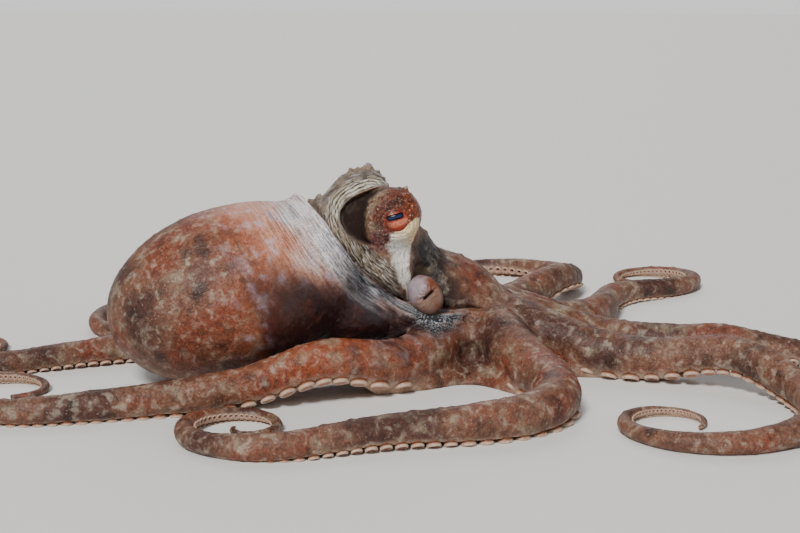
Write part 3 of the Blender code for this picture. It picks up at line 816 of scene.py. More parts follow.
def shape_folds(skin):
    """The long folds of the hood, the finer ones down to the funnel and along the mantle's lip."""
    marks = HeadMarks(skin)
    broken = np.clip(0.6 + 0.7 * marks.lumps(7.0, 2, 41), 0.0, 1.2)
    strong = 0.26 + 0.50 * marks.ridged()
    room = ease(marks.fold_width, 6.0, 11.0)
    folds = groove_rows(marks.fold_phase(), 0.22) * strong * room * broken * marks.band
    knobs = domes(marks.points, 2.3, 1.15, 0.75, 21)
    knobs *= 0.75 * ease(marks.v, 6.0, 12.0) * ease(marks.across, 0.5, 0.25)
    knobs *= np.maximum(marks.band, ease(np.abs(marks.front), 0.35, 0.1) * (marks.u < -4.0))
    ribs = 0.07 * np.sin(marks.u * 2.0 * math.pi / 1.5 + 4.0 * marks.noise(7.0, 8))
    ribs += 0.10 * lumps(np.stack([marks.u, 0.25 * marks.v, marks.side], axis=1), 1.6, 2, 9)
    lip = ease(-marks.ahead, 0.5, 3.0) * ease(-marks.ahead, 30.0, 16.0)
    streaks = groove_rows(marks.ahead / 2.1 + 0.7 * marks.lumps(11.0, 2, 51), 0.2)
    streaks *= np.clip(0.5 + 0.9 * marks.lumps(6.0, 2, 61), 0.0, 1.0)
    skin.move(marks.head * (ribs * marks.hollow + knobs - folds - 0.18 * lip * streaks), marks.near)
    rim = bell(marks.ahead, -3.0, 2.6) * ease(marks.x, -46.0, -38.0)
    skin.move(0.4 * rim * marks.noise(1.3, 81), marks.near)


def shape_body(skin, arms):
    """Soft lumps all over and small wrinkles across the arms."""
    marks = HeadMarks(skin)
    plain = np.ones(len(skin.points))
    plain[marks.near] -= marks.head * np.maximum(marks.seen * (marks.eye_gap < 14.0), marks.hollow)
    plain[marks.near] *= 1.0 - 0.8 * marks.band
    height = 0.55 * lumps(skin.points, 16.0, 2, 71) + 0.16 * lumps(skin.points, 3.6, 2, 75)
    warts, small = domes(skin.points, 8.0, 2.3, 0.6, 93) ** 1.3, domes(skin.points, 4.2, 1.5, 0.6, 97)
    height += (0.9 * warts + 0.35 * small) * ease(-arms.oral, -0.5, 0.1)
    height *= plain * np.clip(arms.radius / 7.0, 0.15, 1.0)
    wrinkles = np.sin(arms.along / 2.3 * math.pi + 2.5 * noise(skin.points, 9.0, 91))
    wrinkles *= arms.on_arm * ease(-arms.oral, -0.1, 0.4)
    skin.move(height + 0.010 * arms.radius * wrinkles)


def shape_papillae(skin):
    """Small soft points of skin along the top of the hood and over the eyes, and how tall each is."""
    marks = HeadMarks(skin)
    height = np.zeros(len(marks.near))
    for side in (-1, 1):
        for u, v, tall, wide in PAPILLAE:
            miss = np.hypot(marks.u - u, marks.v - v) + 4.0 * np.abs(marks.front)
            miss += np.where((marks.side == side) & (marks.head > 0.5), 0.0, 1000.0)
            gap = np.linalg.norm(marks.points - marks.points[np.argmin(miss)], axis=1)
            height = np.maximum(height, tall * np.clip(1.0 - gap / (2.0 * wide), 0.0, 1.0) ** 1.4)
    skin.move(height, marks.near)
    skin.tips = np.zeros(len(skin.points))
    skin.tips[marks.near] = height


def shaped_skin():
    skin = Skin(coarse_skin())
    shape_crease(skin)
    shape_hollow(skin)
    shape_lids(skin)
    shape_folds(skin)
    arms = ArmMarks(skin.points)
    shape_body(skin, arms)
    shape_papillae(skin)
    skin.points[:, 2] = np.maximum(skin.points[:, 2], 0.0)
    skin.refresh()
    return skin, arms


def paint(tint, name, amount):
    """Lays a share of a named colour, from 0 to 1, over the colour of each point."""
    tint += (np.array(COLOURS[name]) - tint) * np.clip(amount, 0.0, 1.0)[:, None]


def paint_arms(tint, points, arms):
    """Mottled brown, maroon and rust with pale patches, and a pale sucker side."""
    big, middle = lumps(points, 30.0, 2, 101), lumps(points, 10.0, 3, 105)
    paint(tint, "maroon", 0.8 * ease(big, -0.05, 0.45))
    paint(tint, "rust", 0.7 * ease(-big, 0.0, 0.4))
    near_funnel = (arms.arm == RING.index("arm_right_4")) * bell(arms.share, 0.26, 0.10)
    paint(tint, "orange", 0.45 * near_funnel)
    paint(tint, "beige", 0.60 * ease(middle, 0.12, 0.5))
    paint(tint, "dark", 0.6 * ease(-middle, 0.15, 0.5))
    pale = ease(arms.oral, 0.30, 0.75) * ease(arms.share, 0.12, 0.2)
    paint(tint, "sucker", 0.9 * pale)
    return pale


def paint_mantle(tint, marks):
    """White along the free edge, then peach and lilac, then maroon low down and under the rim as painted
    shade over reddish skin, in long streaks.
    """
    behind = -marks.ahead
    lie = np.stack([behind, marks.edge_along * 0.12, 5.0 * marks.side], axis=1)
    strands = lumps(lie, 2.4, 2, 117)
    wander = 8.0 * marks.lumps(16.0, 2, 111) + 6.0 * strands
    spots = marks.lumps(8.0, 3, 115)
    paint(tint, "peach", marks.mantle * ease(-behind + wander, -50.0, -22.0))
    # Below this line the lower mantle is darkened as painted shade
    line_u, line_v, slope = SHADE_LINE
    below_shade_line = -(marks.v - line_v - slope * (marks.u - line_u)) + 3.0 * strands
    warm = 0.18 + 0.40 * ease(below_shade_line, -24.0, -6.0)
    paint(tint, "orange", warm * marks.mantle * ease(spots + 0.5 * strands, -0.1, 0.35))
    paint(tint, "lilac", 0.8 * marks.mantle * ease(-spots + 0.4 * strands, 0.05, 0.40))
    # Painted shade: maroon over the lower mantle and under the rim, wine where it is deepest, with a few
    # rust flecks
    low = ease(below_shade_line, -11.0, 2.0) * ease(behind + 0.7 * wander, 4.0, 12.0)
    shade_under_rim = ease(marks.u, -12.0, 2.0) * ease(behind, 3.5, 6.0)
    low *= ease(marks.x + 16.0 * marks.lumps(20.0, 3, 119), PAINT_BACK, PAINT_BACK + 48.0)
    low = marks.mantle * np.maximum(low, shade_under_rim)
    paint(tint, "maroon", 0.9 * low)
    deep = np.maximum(ease(below_shade_line + 5.0 * spots, -6.0, 8.0), shade_under_rim)
    paint(tint, "wine", low * deep)
    paint(tint, "rust", 0.18 * low * ease(spots + 0.5 * strands, 0.1, 0.5))
    white = marks.mantle * ease(behind + 0.9 * wander, 22.0, 8.0) * (1.0 - shade_under_rim)
    white *= (1.0 - low) * np.clip(0.85 + 0.7 * marks.lumps(24.0, 2, 113), 0.4, 1.0)
    paint(tint, "white", 0.9 * white)
    paint(tint, "peach", 0.55 * white * ease(behind, 5.0, 12.0) * ease(strands, 0.1, 0.6))
    edge = marks.mantle * ease(behind + 0.6 * wander, 18.0, 8.0) * (1.0 - shade_under_rim)
    paint(tint, "slate", 0.80 * edge * ease(marks.u + 6.0 * strands, -36.0, -12.0))
    paint(tint, "ink", 0.5 * edge * ease(marks.u, -30.0, -14.0) * ease(strands, 0.0, 0.4))
    return white, low


def paint_bulge(tint, marks, spots):
    """Rust to orange, with a beige arc behind, a purple foot, orange lids and a painted lilac highlight
    along its forward edge.
    """
    bulge = marks.head * ease(marks.eye_far, 15.6, 14.3)
    bulge *= ease(np.abs(marks.y), 5.0, 11.0) * (1.0 - marks.band)
    flecks = marks.lumps(2.6, 2, 127)
    foot = ease(marks.u + 2.0 * flecks, -11.5, -7.5) * ease(marks.v + 3.0 * flecks, -18.5, -12.5)
    foot *= ease(-marks.v, 4.0, 9.0) * ease(-marks.u, -3.0, 1.0) * marks.seen * marks.head
    paint(tint, "russet", bulge)
    paint(tint, "ginger", 0.65 * bulge * ease(marks.u + 6.0 * spots + 4.0 * flecks, 0.0, 10.0))
    paint(tint, "wine", 0.75 * bulge * ease(spots + 0.7 * flecks, -0.05, 0.45))
    ring = bell(marks.radius + 2.5 * spots, 11.0, 2.4) * ease(-marks.u, 0.0, 6.0)
    paint(tint, "beige", 0.7 * bulge * ring * ease(flecks, -0.5, 0.1))
    paint(tint, "purple", 0.85 * foot)
    paint(tint, "lilac", 0.25 * foot * ease(flecks, 0.15, 0.5))
    # Painted highlight: a lilac line along the bulge's forward edge
    edge = bell(marks.front, 0.18, 0.14) * ease(marks.u, 8.0, 11.0) * (marks.v > -6.0)
    paint(tint, "lilac", 0.5 * bulge * edge * ease(flecks, -0.5, 0.1))
    lids = bell(marks.lid_gap, 5.7, 0.7) * marks.eye_outer
    paint(tint, "iris", 0.45 * bulge * lids * ease(flecks, -0.4, 0.3))
    return np.maximum(bulge, foot), foot


def paint_front(tint, marks, spots, ahead):
    """Brown skin, umber and ink as painted shade in front of the crest, a clay fringe where that painted
    shade is lighter next to the crest, grey-brown on the nape partly as painted shade, and a paler spot.
    """
    paint(tint, "brown", ahead)
    # Grey-brown on the nape, partly its skin and partly painted shade of the groove behind the hood
    paint(tint, "mauve", 0.9 * ahead * ease(-marks.x, 56.0, 64.0))
    paint(tint, "beige", 0.4 * ahead * ease(spots, 0.1, 0.5))
    # Painted shade on the front of the head beside the crest: umber, ink where it is deepest, clay where
    # it fades in next to the crest
    outside = ease(np.abs(marks.y) + 5.0 * spots, 1.0, 9.0)
    beside = ease(marks.crest_right, 0.0, 1.5) * marks.seen * outside
    beside *= ease(-marks.v + 3.0 * spots, 6.0, 13.0)
    paint(tint, "umber", 0.95 * ahead * beside)
    shade = ease(marks.crest_right + 3.0 * spots, 1.5, 6.0)
    shade *= ease(marks.crest_right + 7.0 * spots, 21.0, 8.0)
    paint(tint, "ink", 0.7 * ahead * beside * shade)
    fringe = ease(marks.crest_right + 3.0 * spots, 4.5, 0.0)
    paint(tint, "clay", 0.6 * ahead * beside * fringe)
    far = np.hypot(*((marks.places - SPOT_PLACE) / SPOT_HALF).T) + 0.8 * spots
    paint(tint, "beige", 0.3 * ahead * marks.seen * ease(far, 1.3, 0.4))


def paint_hood(tint, marks, spots):
    """The band of folds: mauve outside, pale inside, with cream folds, painted shade in the grooves
    between them and along the hollow's edge.
    """
    band = marks.band * ease(marks.ahead, 0.0, 0.8)
    paint(tint, "beige", band)
    outer = band * ease(marks.across + 0.2 * spots, 0.55, 0.15)
    paint(tint, "mauve", 0.9 * outer)
    paint(tint, "mauve", 0.50 * band * ease(-marks.v, 4.0, 22.0))
    ridge = ease(marks.across, 0.5, 0.9) * ease(marks.v, -6.0, 4.0)
    paint(tint, "cream", 0.38 * band * ridge)
    folds = band * marks.ridged()
    paint(tint, "cream", 0.6 * folds * groove_rows(marks.fold_phase() + 0.5, 0.25))
    # Painted shade in the grooves between the folds
    paint(tint, "dark", 0.9 * folds * groove_rows(marks.fold_phase(), 0.17))
    # Painted shade darkening the band towards the hollow's edge
    paint(tint, "dark", 0.6 * marks.head * ease(marks.hollow_edge, -2.4, 0.4) * band)
    return band


def paint_crest(tint, marks, spots, ahead):
    """The cream patch from under the eye down to the funnel, yellow near the eye."""
    grit = lumps(np.stack([marks.u, 0.4 * marks.v, 9.0 * marks.side], axis=1), 1.3, 2, 129)
    crest = ease(marks.crest_left + 2.0 * spots + 1.6 * grit, -1.0, 2.2)
    crest *= ease(marks.crest_right + 0.7 * grit, 0.4, -0.5)
    crest *= marks.seen * ahead * ease(np.interp(marks.u, *np.array(CREST_TOP).T) - marks.v, -0.8, 0.6)
    crest *= ease(-marks.v, 42.0, 38.0)
    crest *= np.maximum(ease(np.abs(marks.y), 14.0, 18.0), ease(-marks.v, 9.0, 13.0))
    paint(tint, "cream", crest)
    paint(tint, "white", 0.45 * crest * ease(-marks.v, 4.0, 12.0))
    paint(tint, "yellow", 0.6 * crest * ease(marks.v + 0.5 * marks.u + 3.0 * spots, -11.0, -4.0))
    paint(tint, "mauve", 0.55 * crest * ease(grit, 0.15, 0.45) * ease(-marks.v, 9.0, 20.0))
    return crest


def paint_head(tint, marks):
    """The head's front, the hood, the eye bulge, the hollow in painted shade and the cream crest, in
    order.
    """
    spots = marks.lumps(6.0, 3, 121)
    ahead = marks.head * ease(marks.ahead, 0.0, 0.8)
    ahead *= ease(marks.x + 12.0 * marks.lumps(14.0, 3, 123), -8.0, -22.0)
    paint_front(tint, marks, spots, ahead)
    band = paint_hood(tint, marks, spots)
    bulge, foot = paint_bulge(tint, marks, spots)
    # Painted shade in the hollow behind the eye, over dark brown skin
    paint(tint, "hollow", 1.2 * marks.hollow)
    crest = paint_crest(tint, marks, spots, ahead)
    return band, bulge * (1.0 - marks.hollow), crest, foot


def flow_places(marks, crest):
    """Places counted across and along the marks, so that the fine lines there follow them."""
    place = np.stack([marks.across * marks.fold_width, marks.fold_along * 1.7, 40.0 + marks.side], axis=1)
    back = np.stack([marks.ahead, marks.edge_along, 50.0 + marks.side], axis=1)
    inside = np.stack([marks.u, 1.8 * marks.v, 60.0 + marks.side], axis=1)
    place = np.where((marks.ahead > 0.0)[:, None], place, back)
    return np.where((np.maximum(marks.hollow, crest) > 0.4)[:, None], inside, place)


def painted(skin, arms):
    """The colour of each point of the skin, and how strong each fine pattern is there."""
    count = len(skin.points)
    tint = np.tile(COLOURS["brown"], (count, 1))
    pale = paint_arms(tint, skin.points, arms)
    looks = {"streak": np.zeros(count), "mottle": 0.8 * (1.0 - 0.7 * pale), "net": 0.7 * (1.0 - pale),
             "grain": np.zeros(count), "dots": 0.35 * (1.0 - pale), "dull": np.zeros(count)}
    flow = np.stack([arms.lateral * arms.radius, arms.along, arms.arm * 7.0], axis=1)

    marks = HeadMarks(skin)
    near, head = marks.near, marks.head
    front = tint[near]
    covered = ease(arms.gap[near] / arms.radius[near], 1.30, 1.05)
    ragged = 0.08 * marks.lumps(7.0, 3, 37)
    marks.mantle *= 1.0 - covered * ease(arms.share[near] + ragged, 0.10, 0.24)
    white, low = paint_mantle(front, marks)
    band, bulge, crest, foot = paint_head(front, marks)
    rim = bell(marks.ahead, -3.8, 3.4) * ease(marks.u, 6.0, 14.0)
    rim *= marks.seen * marks.mantle
    rim *= ease(marks.x + 9.0 * marks.lumps(5.0, 3, 141), -11.0, -24.0)
    paint(front, "slate", 0.9 * rim)
    paint(front, "ink", 0.4 * rim)
    # Painted shade: a dark line along the crease in front of the mantle's free edge
    paint(front, "dark", 0.85 * head * bell(marks.ahead, 0.4, 0.42))
    paint(front, "beige", 0.6 * ease(skin.tips[near], 0.1, 0.8))
    paint(front, "haze", 0.8 * ease(skin.tips[near], 1.0, 2.0))
    tint[near] = front

    close = np.maximum(head, marks.mantle)
    behind = -marks.ahead
    crisp = np.maximum(ease(marks.across, 0.10, 0.35), ease(marks.fold_along, 58.0, 44.0))
    streak = np.maximum(band * (0.40 + 0.60 * crisp), 0.8 * white)
    streak = np.maximum(streak, 0.6 * marks.mantle * ease(behind, 40.0, 16.0) * (1.0 - low))
    streak = np.maximum(streak * (1.0 - crest), 0.30 * crest * ease(-marks.v, 10.0, 20.0))
    looks["streak"][near] = streak * (1.0 - marks.hollow)
    smooth = np.maximum.reduce([band, marks.hollow, bulge, white, crest, 0.9 * marks.mantle])
    looks["net"][near] *= 1.0 - close * smooth
    looks["mottle"][near] *= (1.0 - close * np.maximum(0.35, 0.9 * smooth)) * (1.0 - 0.7 * low)
    looks["grain"][near] = np.maximum(rim, 0.22 * foot)
    looks["dull"][near] = marks.hollow
    looks["dots"][near] = np.maximum(0.2 * (1.0 - close), bulge * (1.0 - 0.75 * crest))
    flow[near] = np.where((close > 0.02)[:, None], flow_places(marks, crest), flow[near])
    return tint, looks, flow


def store(mesh, name, kind, values):
    layer = mesh.attributes.new(name, kind, "POINT")
    field = {"FLOAT_COLOR": "color", "FLOAT_VECTOR": "vector", "FLOAT": "value"}[kind]
    layer.data.foreach_set(field, np.asarray(values, np.float32).ravel())


def store_tint(mesh, tint):
    store(mesh, "tint", "FLOAT_COLOR", np.append(tint, np.ones((len(tint), 1)), axis=1))


class Shader:
    """A material's nodes, added one by one with their inputs given by name."""

    def __init__(self, name):
        self.material = bpy.data.materials.new(name)
        self.material.use_nodes = True
        self.tree = self.material.node_tree
        self.surface = self.tree.nodes["Principled BSDF"]

    def set(self, socket, value):
        """Gives a socket a value, or links it to another node's output."""
        if isinstance(value, bpy.types.NodeSocket):
            self.tree.links.new(value, socket)
        else:
            socket.default_value = value

    def put(self, node, **inputs):
        for name, value in inputs.items():
            self.set(node.inputs[name.replace("_", " ")], value)

    def add(self, kind, settings=None, **inputs):
        node = self.tree.nodes.new("ShaderNode" + kind)
        for key, value in (settings or {}).items():
            setattr(node, key, value)
        self.put(node, **inputs)
        return node

    def value(self, name, output="Fac"):
        """What is stored on the mesh under a name."""
        return self.add("Attribute", {"attribute_name": name}).outputs[output]

    def numbers(self, kind, operation, *given, **settings):
        """A node that works on several numbers or vectors in order."""
        node = self.add(kind, {"operation": operation, **settings})
        for socket, value in zip(node.inputs, given):
            self.set(socket, value)
        return node.outputs[0]

    def plus(self, first, second, clamp=False):
        return self.numbers("Math", "ADD", first, second, use_clamp=clamp)

    def times(self, first, *others):
        for other in others:
            first = self.numbers("Math", "MULTIPLY", first, other)
        return first

    def ramp(self, value, low, high, start=0.0, end=1.0):
        return self.add("MapRange", {"interpolation_type": "SMOOTHSTEP"}, Value=value, From_Min=low,
                        From_Max=high, To_Min=start, To_Max=end).outputs[0]

    def spread(self, noise, low, high):
        """Values from low to high, by a noise texture."""
        return self.ramp(noise, *NOISE_RANGE, low, high)

    def tint(self, fine, dark, light):
        """The colour stored on the mesh, made a little darker and lighter by a fine noise."""
        return self.shade(self.value("tint", "Color"), self.spread(fine, dark, light))

    def cover(self, colour, name, amount):
        """The colour with a share of a named one laid over it."""
        return self.add("Mix", {"data_type": "RGBA"}, Factor=amount, A=colour,
                        B=(*COLOURS[name], 1.0)).outputs["Result"]

    def shade(self, colour, factor):
        """The colour made lighter or darker by a factor that varies over the surface."""
        return self.add("VectorMath", {"operation": "SCALE"}, Vector=colour, Scale=factor).outputs[0]

    def millimetres(self, scale=(1.0, 1.0, 1.0), source=None):
        """Places on the object in millimetres, or another vector, stretched by a scale."""
        if source is None:
            source = self.add("TexCoord").outputs["Object"]
            scale = tuple(1000.0 * s for s in scale)
        return self.add("Mapping", {"vector_type": "POINT"}, Vector=source, Scale=scale).outputs[0]

    def noise(self, place, size, detail=2.0, distortion=0.0, output="Fac"):
        return self.add("TexNoise", Vector=place, Scale=1.0 / size, Detail=detail,
                        Distortion=distortion).outputs[output]

    def cells(self, place, size, output="Distance", feature="F1"):
        return self.add("TexVoronoi", {"feature": feature}, Vector=place, Scale=1.0 / size).outputs[output]

    def lot(self, place, size):
        """A random number from 0 to 1 for each cell."""
        return self.add("SeparateColor", Color=self.cells(place, size, "Color")).outputs[0]

    def finish(self, colour, height, depth, roughness, **more):
        """Colour, relief of a depth in millimetres, roughness, and the softness of moist flesh."""
        bump = self.add("Bump", Height=height, Strength=RELIEF, Distance=depth * MM)
        self.put(self.surface, Base_Color=colour, Normal=bump.outputs["Normal"], Roughness=roughness,
                 Specular_IOR_Level=SHINE, Subsurface_Weight=SOFTNESS,
                 Subsurface_Radius=SOFT_RADIUS, Subsurface_Scale=SOFT_DEPTH * MM, **more)
        return self.material


def skin_material():
    shader = Shader("skin")
    place, flow = shader.millimetres(), shader.value("flow", "Vector")
    streak, mottle, net, grain, dots, dull = (
        shader.value(name) for name in ("streak", "mottle", "net", "grain", "dots", "dull"))
    fine = shader.noise(place, 0.9, 3.0)
    patch = shader.noise(place, 4.2, 4.0, 0.5)
    freckle = shader.noise(place, 1.2, 4.0, 0.4)
    lines = shader.noise(shader.millimetres((1.65, 0.15, 1.0), flow), 1.0, 3.0, 0.15)
    hair = shader.noise(shader.millimetres((3.6, 0.36, 1.0), flow), 1.0, 2.0)

    bend = shader.noise(place, 1.0 / 0.35, output="Color")
    warped = shader.numbers("VectorMath", "MULTIPLY_ADD", bend, (2.2, 2.2, 2.2), place)
    seams = shader.cells(warped, 2.0, feature="DISTANCE_TO_EDGE")
    seam = shader.times(net, shader.ramp(seams, 0.0, 0.2, 1.0, 0.0))
    large = shader.ramp(shader.lot(warped, 1.5), 0.45, 1.0, 0.0, 0.34)
    inside = shader.numbers("Math", "SUBTRACT", large, shader.cells(warped, 1.5))
    spot = shader.times(dots, shader.ramp(inside, 0.0, 0.16))
    speck = shader.lot(place, 0.55)
    grit = shader.times(shader.plus(shader.lot(warped, 0.85), -0.45), dots, 0.9)

    colour = shader.tint(fine, 0.78, 1.20)
    colour = shader.shade(colour, shader.plus(grit, 1.0))
    dark_lines = shader.times(streak, shader.ramp(lines, 0.52, 0.60))
    dark_hair = shader.times(streak, shader.ramp(hair, 0.54, 0.64))
    layers = [
        ("cream", shader.times(mottle, shader.ramp(patch, 0.51, 0.72)), 0.30),
        ("dark", shader.times(mottle, shader.ramp(patch, 0.47, 0.34)), 0.50),
        ("ink", dark_lines, 0.76),
        ("ink", dark_hair, 0.62),
        ("white", shader.times(streak, shader.ramp(lines, 0.47, 0.36)), 0.45),
        ("ink", seam, 0.30),
        ("dark", shader.times(dots, shader.ramp(freckle, 0.48, 0.36)), 0.55),
        ("beige", shader.times(dots, shader.ramp(freckle, 0.55, 0.68)), 0.40),
        ("cream", spot, 0.42),
        ("ink", shader.times(grain, shader.numbers("Math", "LESS_THAN", speck, 0.40)), 0.80),
        ("white", shader.times(grain, shader.numbers("Math", "GREATER_THAN", speck, 0.74)), 0.36),
    ]
    for name, amount, strength in layers:
        colour = shader.cover(colour, name, shader.times(amount, strength))

    height = shader.times(fine, 0.5)
    reliefs = [(seam, -0.4), (dark_lines, -0.6), (dark_hair, -0.4), (spot, 0.5),
               (shader.times(dots, freckle), 0.9)]
    for amount, strength in reliefs:
        height = shader.plus(height, shader.times(amount, strength))
    rough = shader.plus(shader.spread(fine, 0.40, 0.56), shader.times(dots, 0.10))
    return shader.finish(colour, height, 0.35, shader.plus(rough, shader.times(dull, 0.45), True))


def pale_material(name, wet):
    """Smooth moist skin whose colour is painted on, for the funnel and the suckers."""
    shader = Shader(name)
    place = shader.millimetres()
    fine, broad = shader.noise(place, 0.5, 3.0), shader.noise(place, 2.4, 3.0, 0.5)
    colour = shader.tint(fine, 0.88, 1.10)
    colour = shader.cover(colour, "copper", shader.ramp(broad, 0.50, 0.72, 0.0, 0.35))
    speck = shader.ramp(shader.cells(place, 1.1), 0.10, 0.26, 1.0, 0.0)
    colour = shader.cover(colour, "umber", shader.times(speck, 0.22))
    height = shader.plus(shader.times(fine, 0.5), shader.times(broad, 0.6))
    return shader.finish(colour, height, 0.25, shader.spread(fine, wet, wet + 0.14))


def eye_material():
    shader = Shader("eye")
    place, iris = shader.millimetres(), shader.value("iris")
    fine = shader.noise(place, 0.28, 3.0)
    fleck = shader.times(iris, shader.ramp(shader.cells(place, 0.50), 0.1, 0.3, 1.0, 0.0))
    stain = shader.times(iris, shader.ramp(shader.noise(place, 0.8, 3.0), 0.50, 0.64))
    colour = shader.tint(fine, 0.74, 1.18)
    colour = shader.cover(colour, "garnet", shader.times(stain, 0.50))
    colour = shader.cover(colour, "peach", shader.times(fleck, 0.38))
    return shader.finish(colour, shader.times(iris, fine), 0.12, 0.30, Coat_Weight=0.07,
                         Coat_Roughness=0.05)


def ring_mesh(name, rings):
    """Rows of rings joined into closed bodies: an array of (body, ring, point, xyz) in millimetres."""
    bodies, rows, columns, _ = rings.shape
    faces = grid_faces(rows, columns)
    caps = np.stack([np.arange(columns)[::-1], (rows - 1) * columns + np.arange(columns)])
    start = np.arange(bodies)[:, None, None] * rows * columns
    quads, ends = (faces[None] + start).reshape(-1, 4), (caps[None] + start).reshape(-1, columns)
    mesh = bpy.data.meshes.new(name)
    mesh.from_pydata((rings.reshape(-1, 3) * MM).tolist(), [], quads.tolist() + ends.tolist())
    mesh.shade_smooth()
    return mesh


def turned(places, degrees):
    """Flat places turned about their origin."""
    c, s = math.cos(math.radians(degrees)), math.sin(math.radians(degrees))
    return places @ np.array([[c, s], [-s, c]])


def eye_shape():
    """Rings of flat places on the eye from the pupil out, how far each is sunk, and the iris's share."""
    turn = circle_angles(EYE_SIDES)
    round_places = np.stack([np.cos(turn), np.sin(turn)], axis=1)
    bar = np.sign(round_places) * np.abs(round_places) ** (2.0 / PUPIL_SQUARE) * np.array(PUPIL_HALF)
    bar, circle = turned(bar, PUPIL_TILT), IRIS_EDGE * turned(round_places, PUPIL_TILT)
    place = np.array(PUPIL_PLACE)
    rings = []
    for size in np.linspace(0.05, 0.98, 12):
        rings.append((place + bar * size, PUPIL_DEPTH - PUPIL_DOME * (1.0 - size ** 2), 0.0))
    for size, sunk in PUPIL_RIM:
        rings.append((place + bar * size, PUPIL_DEPTH * sunk, ease(size, 1.0, 1.05)))
    for out in np.linspace(0.05, 1.0, 22):
        rings.append(((place + bar * PUPIL_RIM[-1][0]) * (1.0 - out) + circle * out, 0.0, 1.0))
    return rings


def paint_eye(flat, iris, side):
    """The iris, paler beneath the pupil and darker round its edge, and the dark bar with its sheen."""
    level = turned(flat - np.array(PUPIL_PLACE), -PUPIL_TILT)
    grain = lumps(np.append(flat, np.full((len(flat), 1), side), axis=1), 1.1, 2, 151)
    tint = np.tile(COLOURS["iris"], (len(flat), 1))
    beneath = ease(-level[:, 1], 1.3, 2.2) * ease(-level[:, 1], 5.2, 3.6)
    paint(tint, "ember", beneath * (0.75 + 0.6 * grain))
    lid = np.hypot(flat[:, 0], flat[:, 1] * np.where(flat[:, 1] > 0.0, LID_UPPER, 1.0))
    paint(tint, "garnet", 0.85 * ease(lid + 0.7 * grain, 4.2, 5.6))
    paint(tint, "garnet", 0.65 * ease(level[:, 1] + 0.5 * grain, 1.2, 2.6))
    paint(tint, "garnet", 0.45 * ease(-level[:, 0] + 0.8 * grain, 0.5, 4.0))
    paint(tint, "navy", 1.0 - iris)
    # Painted reflection: a blue line along the middle of the pupil
    line = bell(level[:, 1], -0.1, 0.38) * ease(np.abs(level[:, 0]), 3.6, 2.4)
    paint(tint, "sheen", 0.6 * (1.0 - iris) * line * (0.75 + 0.5 * grain))
    return tint


def eye_piece(side):
    axis = unit(mirrored(EYE_AXIS, side))
    ahead = unit(np.array([1.0, 0.0, 0.0]) - axis[0] * axis)
    up = np.array([0.0, 0.0, 1.0])
    middle = np.array(mirrored(EYE_CENTRE, side)) + BALL_OUT * axis
    shape = eye_shape()
    flat = np.stack([ring for ring, _, _ in shape])
    sunk, iris = (np.array([row[k] for row in shape])[:, None] for k in (1, 2))
    spread = (flat ** 2).sum(axis=2)
    out = np.sqrt(BALL_RADIUS ** 2 - spread) - sunk + IRIS_BULGE * (1.0 - spread / IRIS_EDGE ** 2) ** 2
    polar = np.linspace(math.asin(IRIS_EDGE / BALL_RADIUS), math.radians(176.0), 16)[1:]
    back = flat[-1][None] / IRIS_EDGE * BALL_RADIUS * np.sin(polar)[:, None, None]
    flat = np.concatenate([flat, back])
    out = np.concatenate([out, np.tile(BALL_RADIUS * np.cos(polar)[:, None], (1, EYE_SIDES))])
    iris = np.tile(np.concatenate([iris, np.ones((len(polar), 1))]), (1, EYE_SIDES)).ravel()
    rings = middle + flat[..., :1] * ahead + flat[..., 1:] * up + out[..., None] * axis
    mesh = ring_mesh("eye", rings[None])
    store_tint(mesh, paint_eye(flat.reshape(-1, 2), iris, side))
    store(mesh, "iris", "FLOAT", iris)
    return mesh


def funnel_axes():
    """The funnel's neck, the direction of its end, and the picture's right and up."""
    right, up, _ = (np.array(axis) for axis in view_axes())
    neck = np.array(FUNNEL_LINE[-1])
    return neck, unit(np.array(FUNNEL_TIP) - neck), right, up


def slit_places(flat):
    """How far flat places of the funnel's end are along its slit and across it."""
    return turned(flat - np.array(SLIT_PLACE), -SLIT_TURN).T


def funnel_rings():
    """Rings of points from the middle of the domed end back into the body."""
    neck, out, right, up = funnel_axes()
    turn = circle_angles(FUNNEL_SIDES)
    oval = np.stack([np.cos(turn) * FUNNEL_HALF[1], np.sin(turn) * FUNNEL_HALF[0]], axis=1)
    oval = turned(oval, FUNNEL_TURN)
    rise = np.linalg.norm(np.array(FUNNEL_TIP) - neck)
    rows = []
    for share in np.linspace(0.01, 1.0, 40):
        flat = oval * share
        along, across = slit_places(flat)
        far = np.hypot(along, 1.6 * across)
        pucker = np.sin(np.arctan2(across, along) * 13.0 + 1.3 * np.sin(far))
        pucker *= 0.24 * ease(far, 1.0, 2.6) * ease(far, 8.0, 4.5)
        height = rise * math.sqrt(max(1.0 - share ** 2.3, 0.0)) + pucker
        reach = ease(np.abs(along), SLIT_HALF + 0.5, SLIT_HALF - 0.9)
        height -= reach * (2.6 * bell(across, 0.0, 0.45) - 0.5 * bell(np.abs(across), 1.5, 0.8))
        height -= 1.3 * bell(across, 0.0, 1.6) * ease(np.abs(along), 7.0, 2.0)
        rows.append(neck + height[:, None] * out + flat[:, :1] * right + flat[:, 1:] * up)
    line = np.array(FUNNEL_LINE[::-1])
    for share in np.linspace(0.03, 1.0, 24):
        centre = along_line(share, np.linspace(0.0, 1.0, len(line)), line)
        size = 1.0 + 0.04 * math.sin(math.pi * share) - 0.12 * share
        rows.append(centre + size * (oval[:, :1] * right + oval[:, 1:] * up))
    rings = np.stack(rows)
    outwards = unit(rings - rings.mean(axis=1, keepdims=True))
    lumpy = lumps(rings.reshape(-1, 3), 4.5, 2, 131).reshape(rings.shape[:2])
    return rings + 0.22 * outwards * lumpy[..., None]


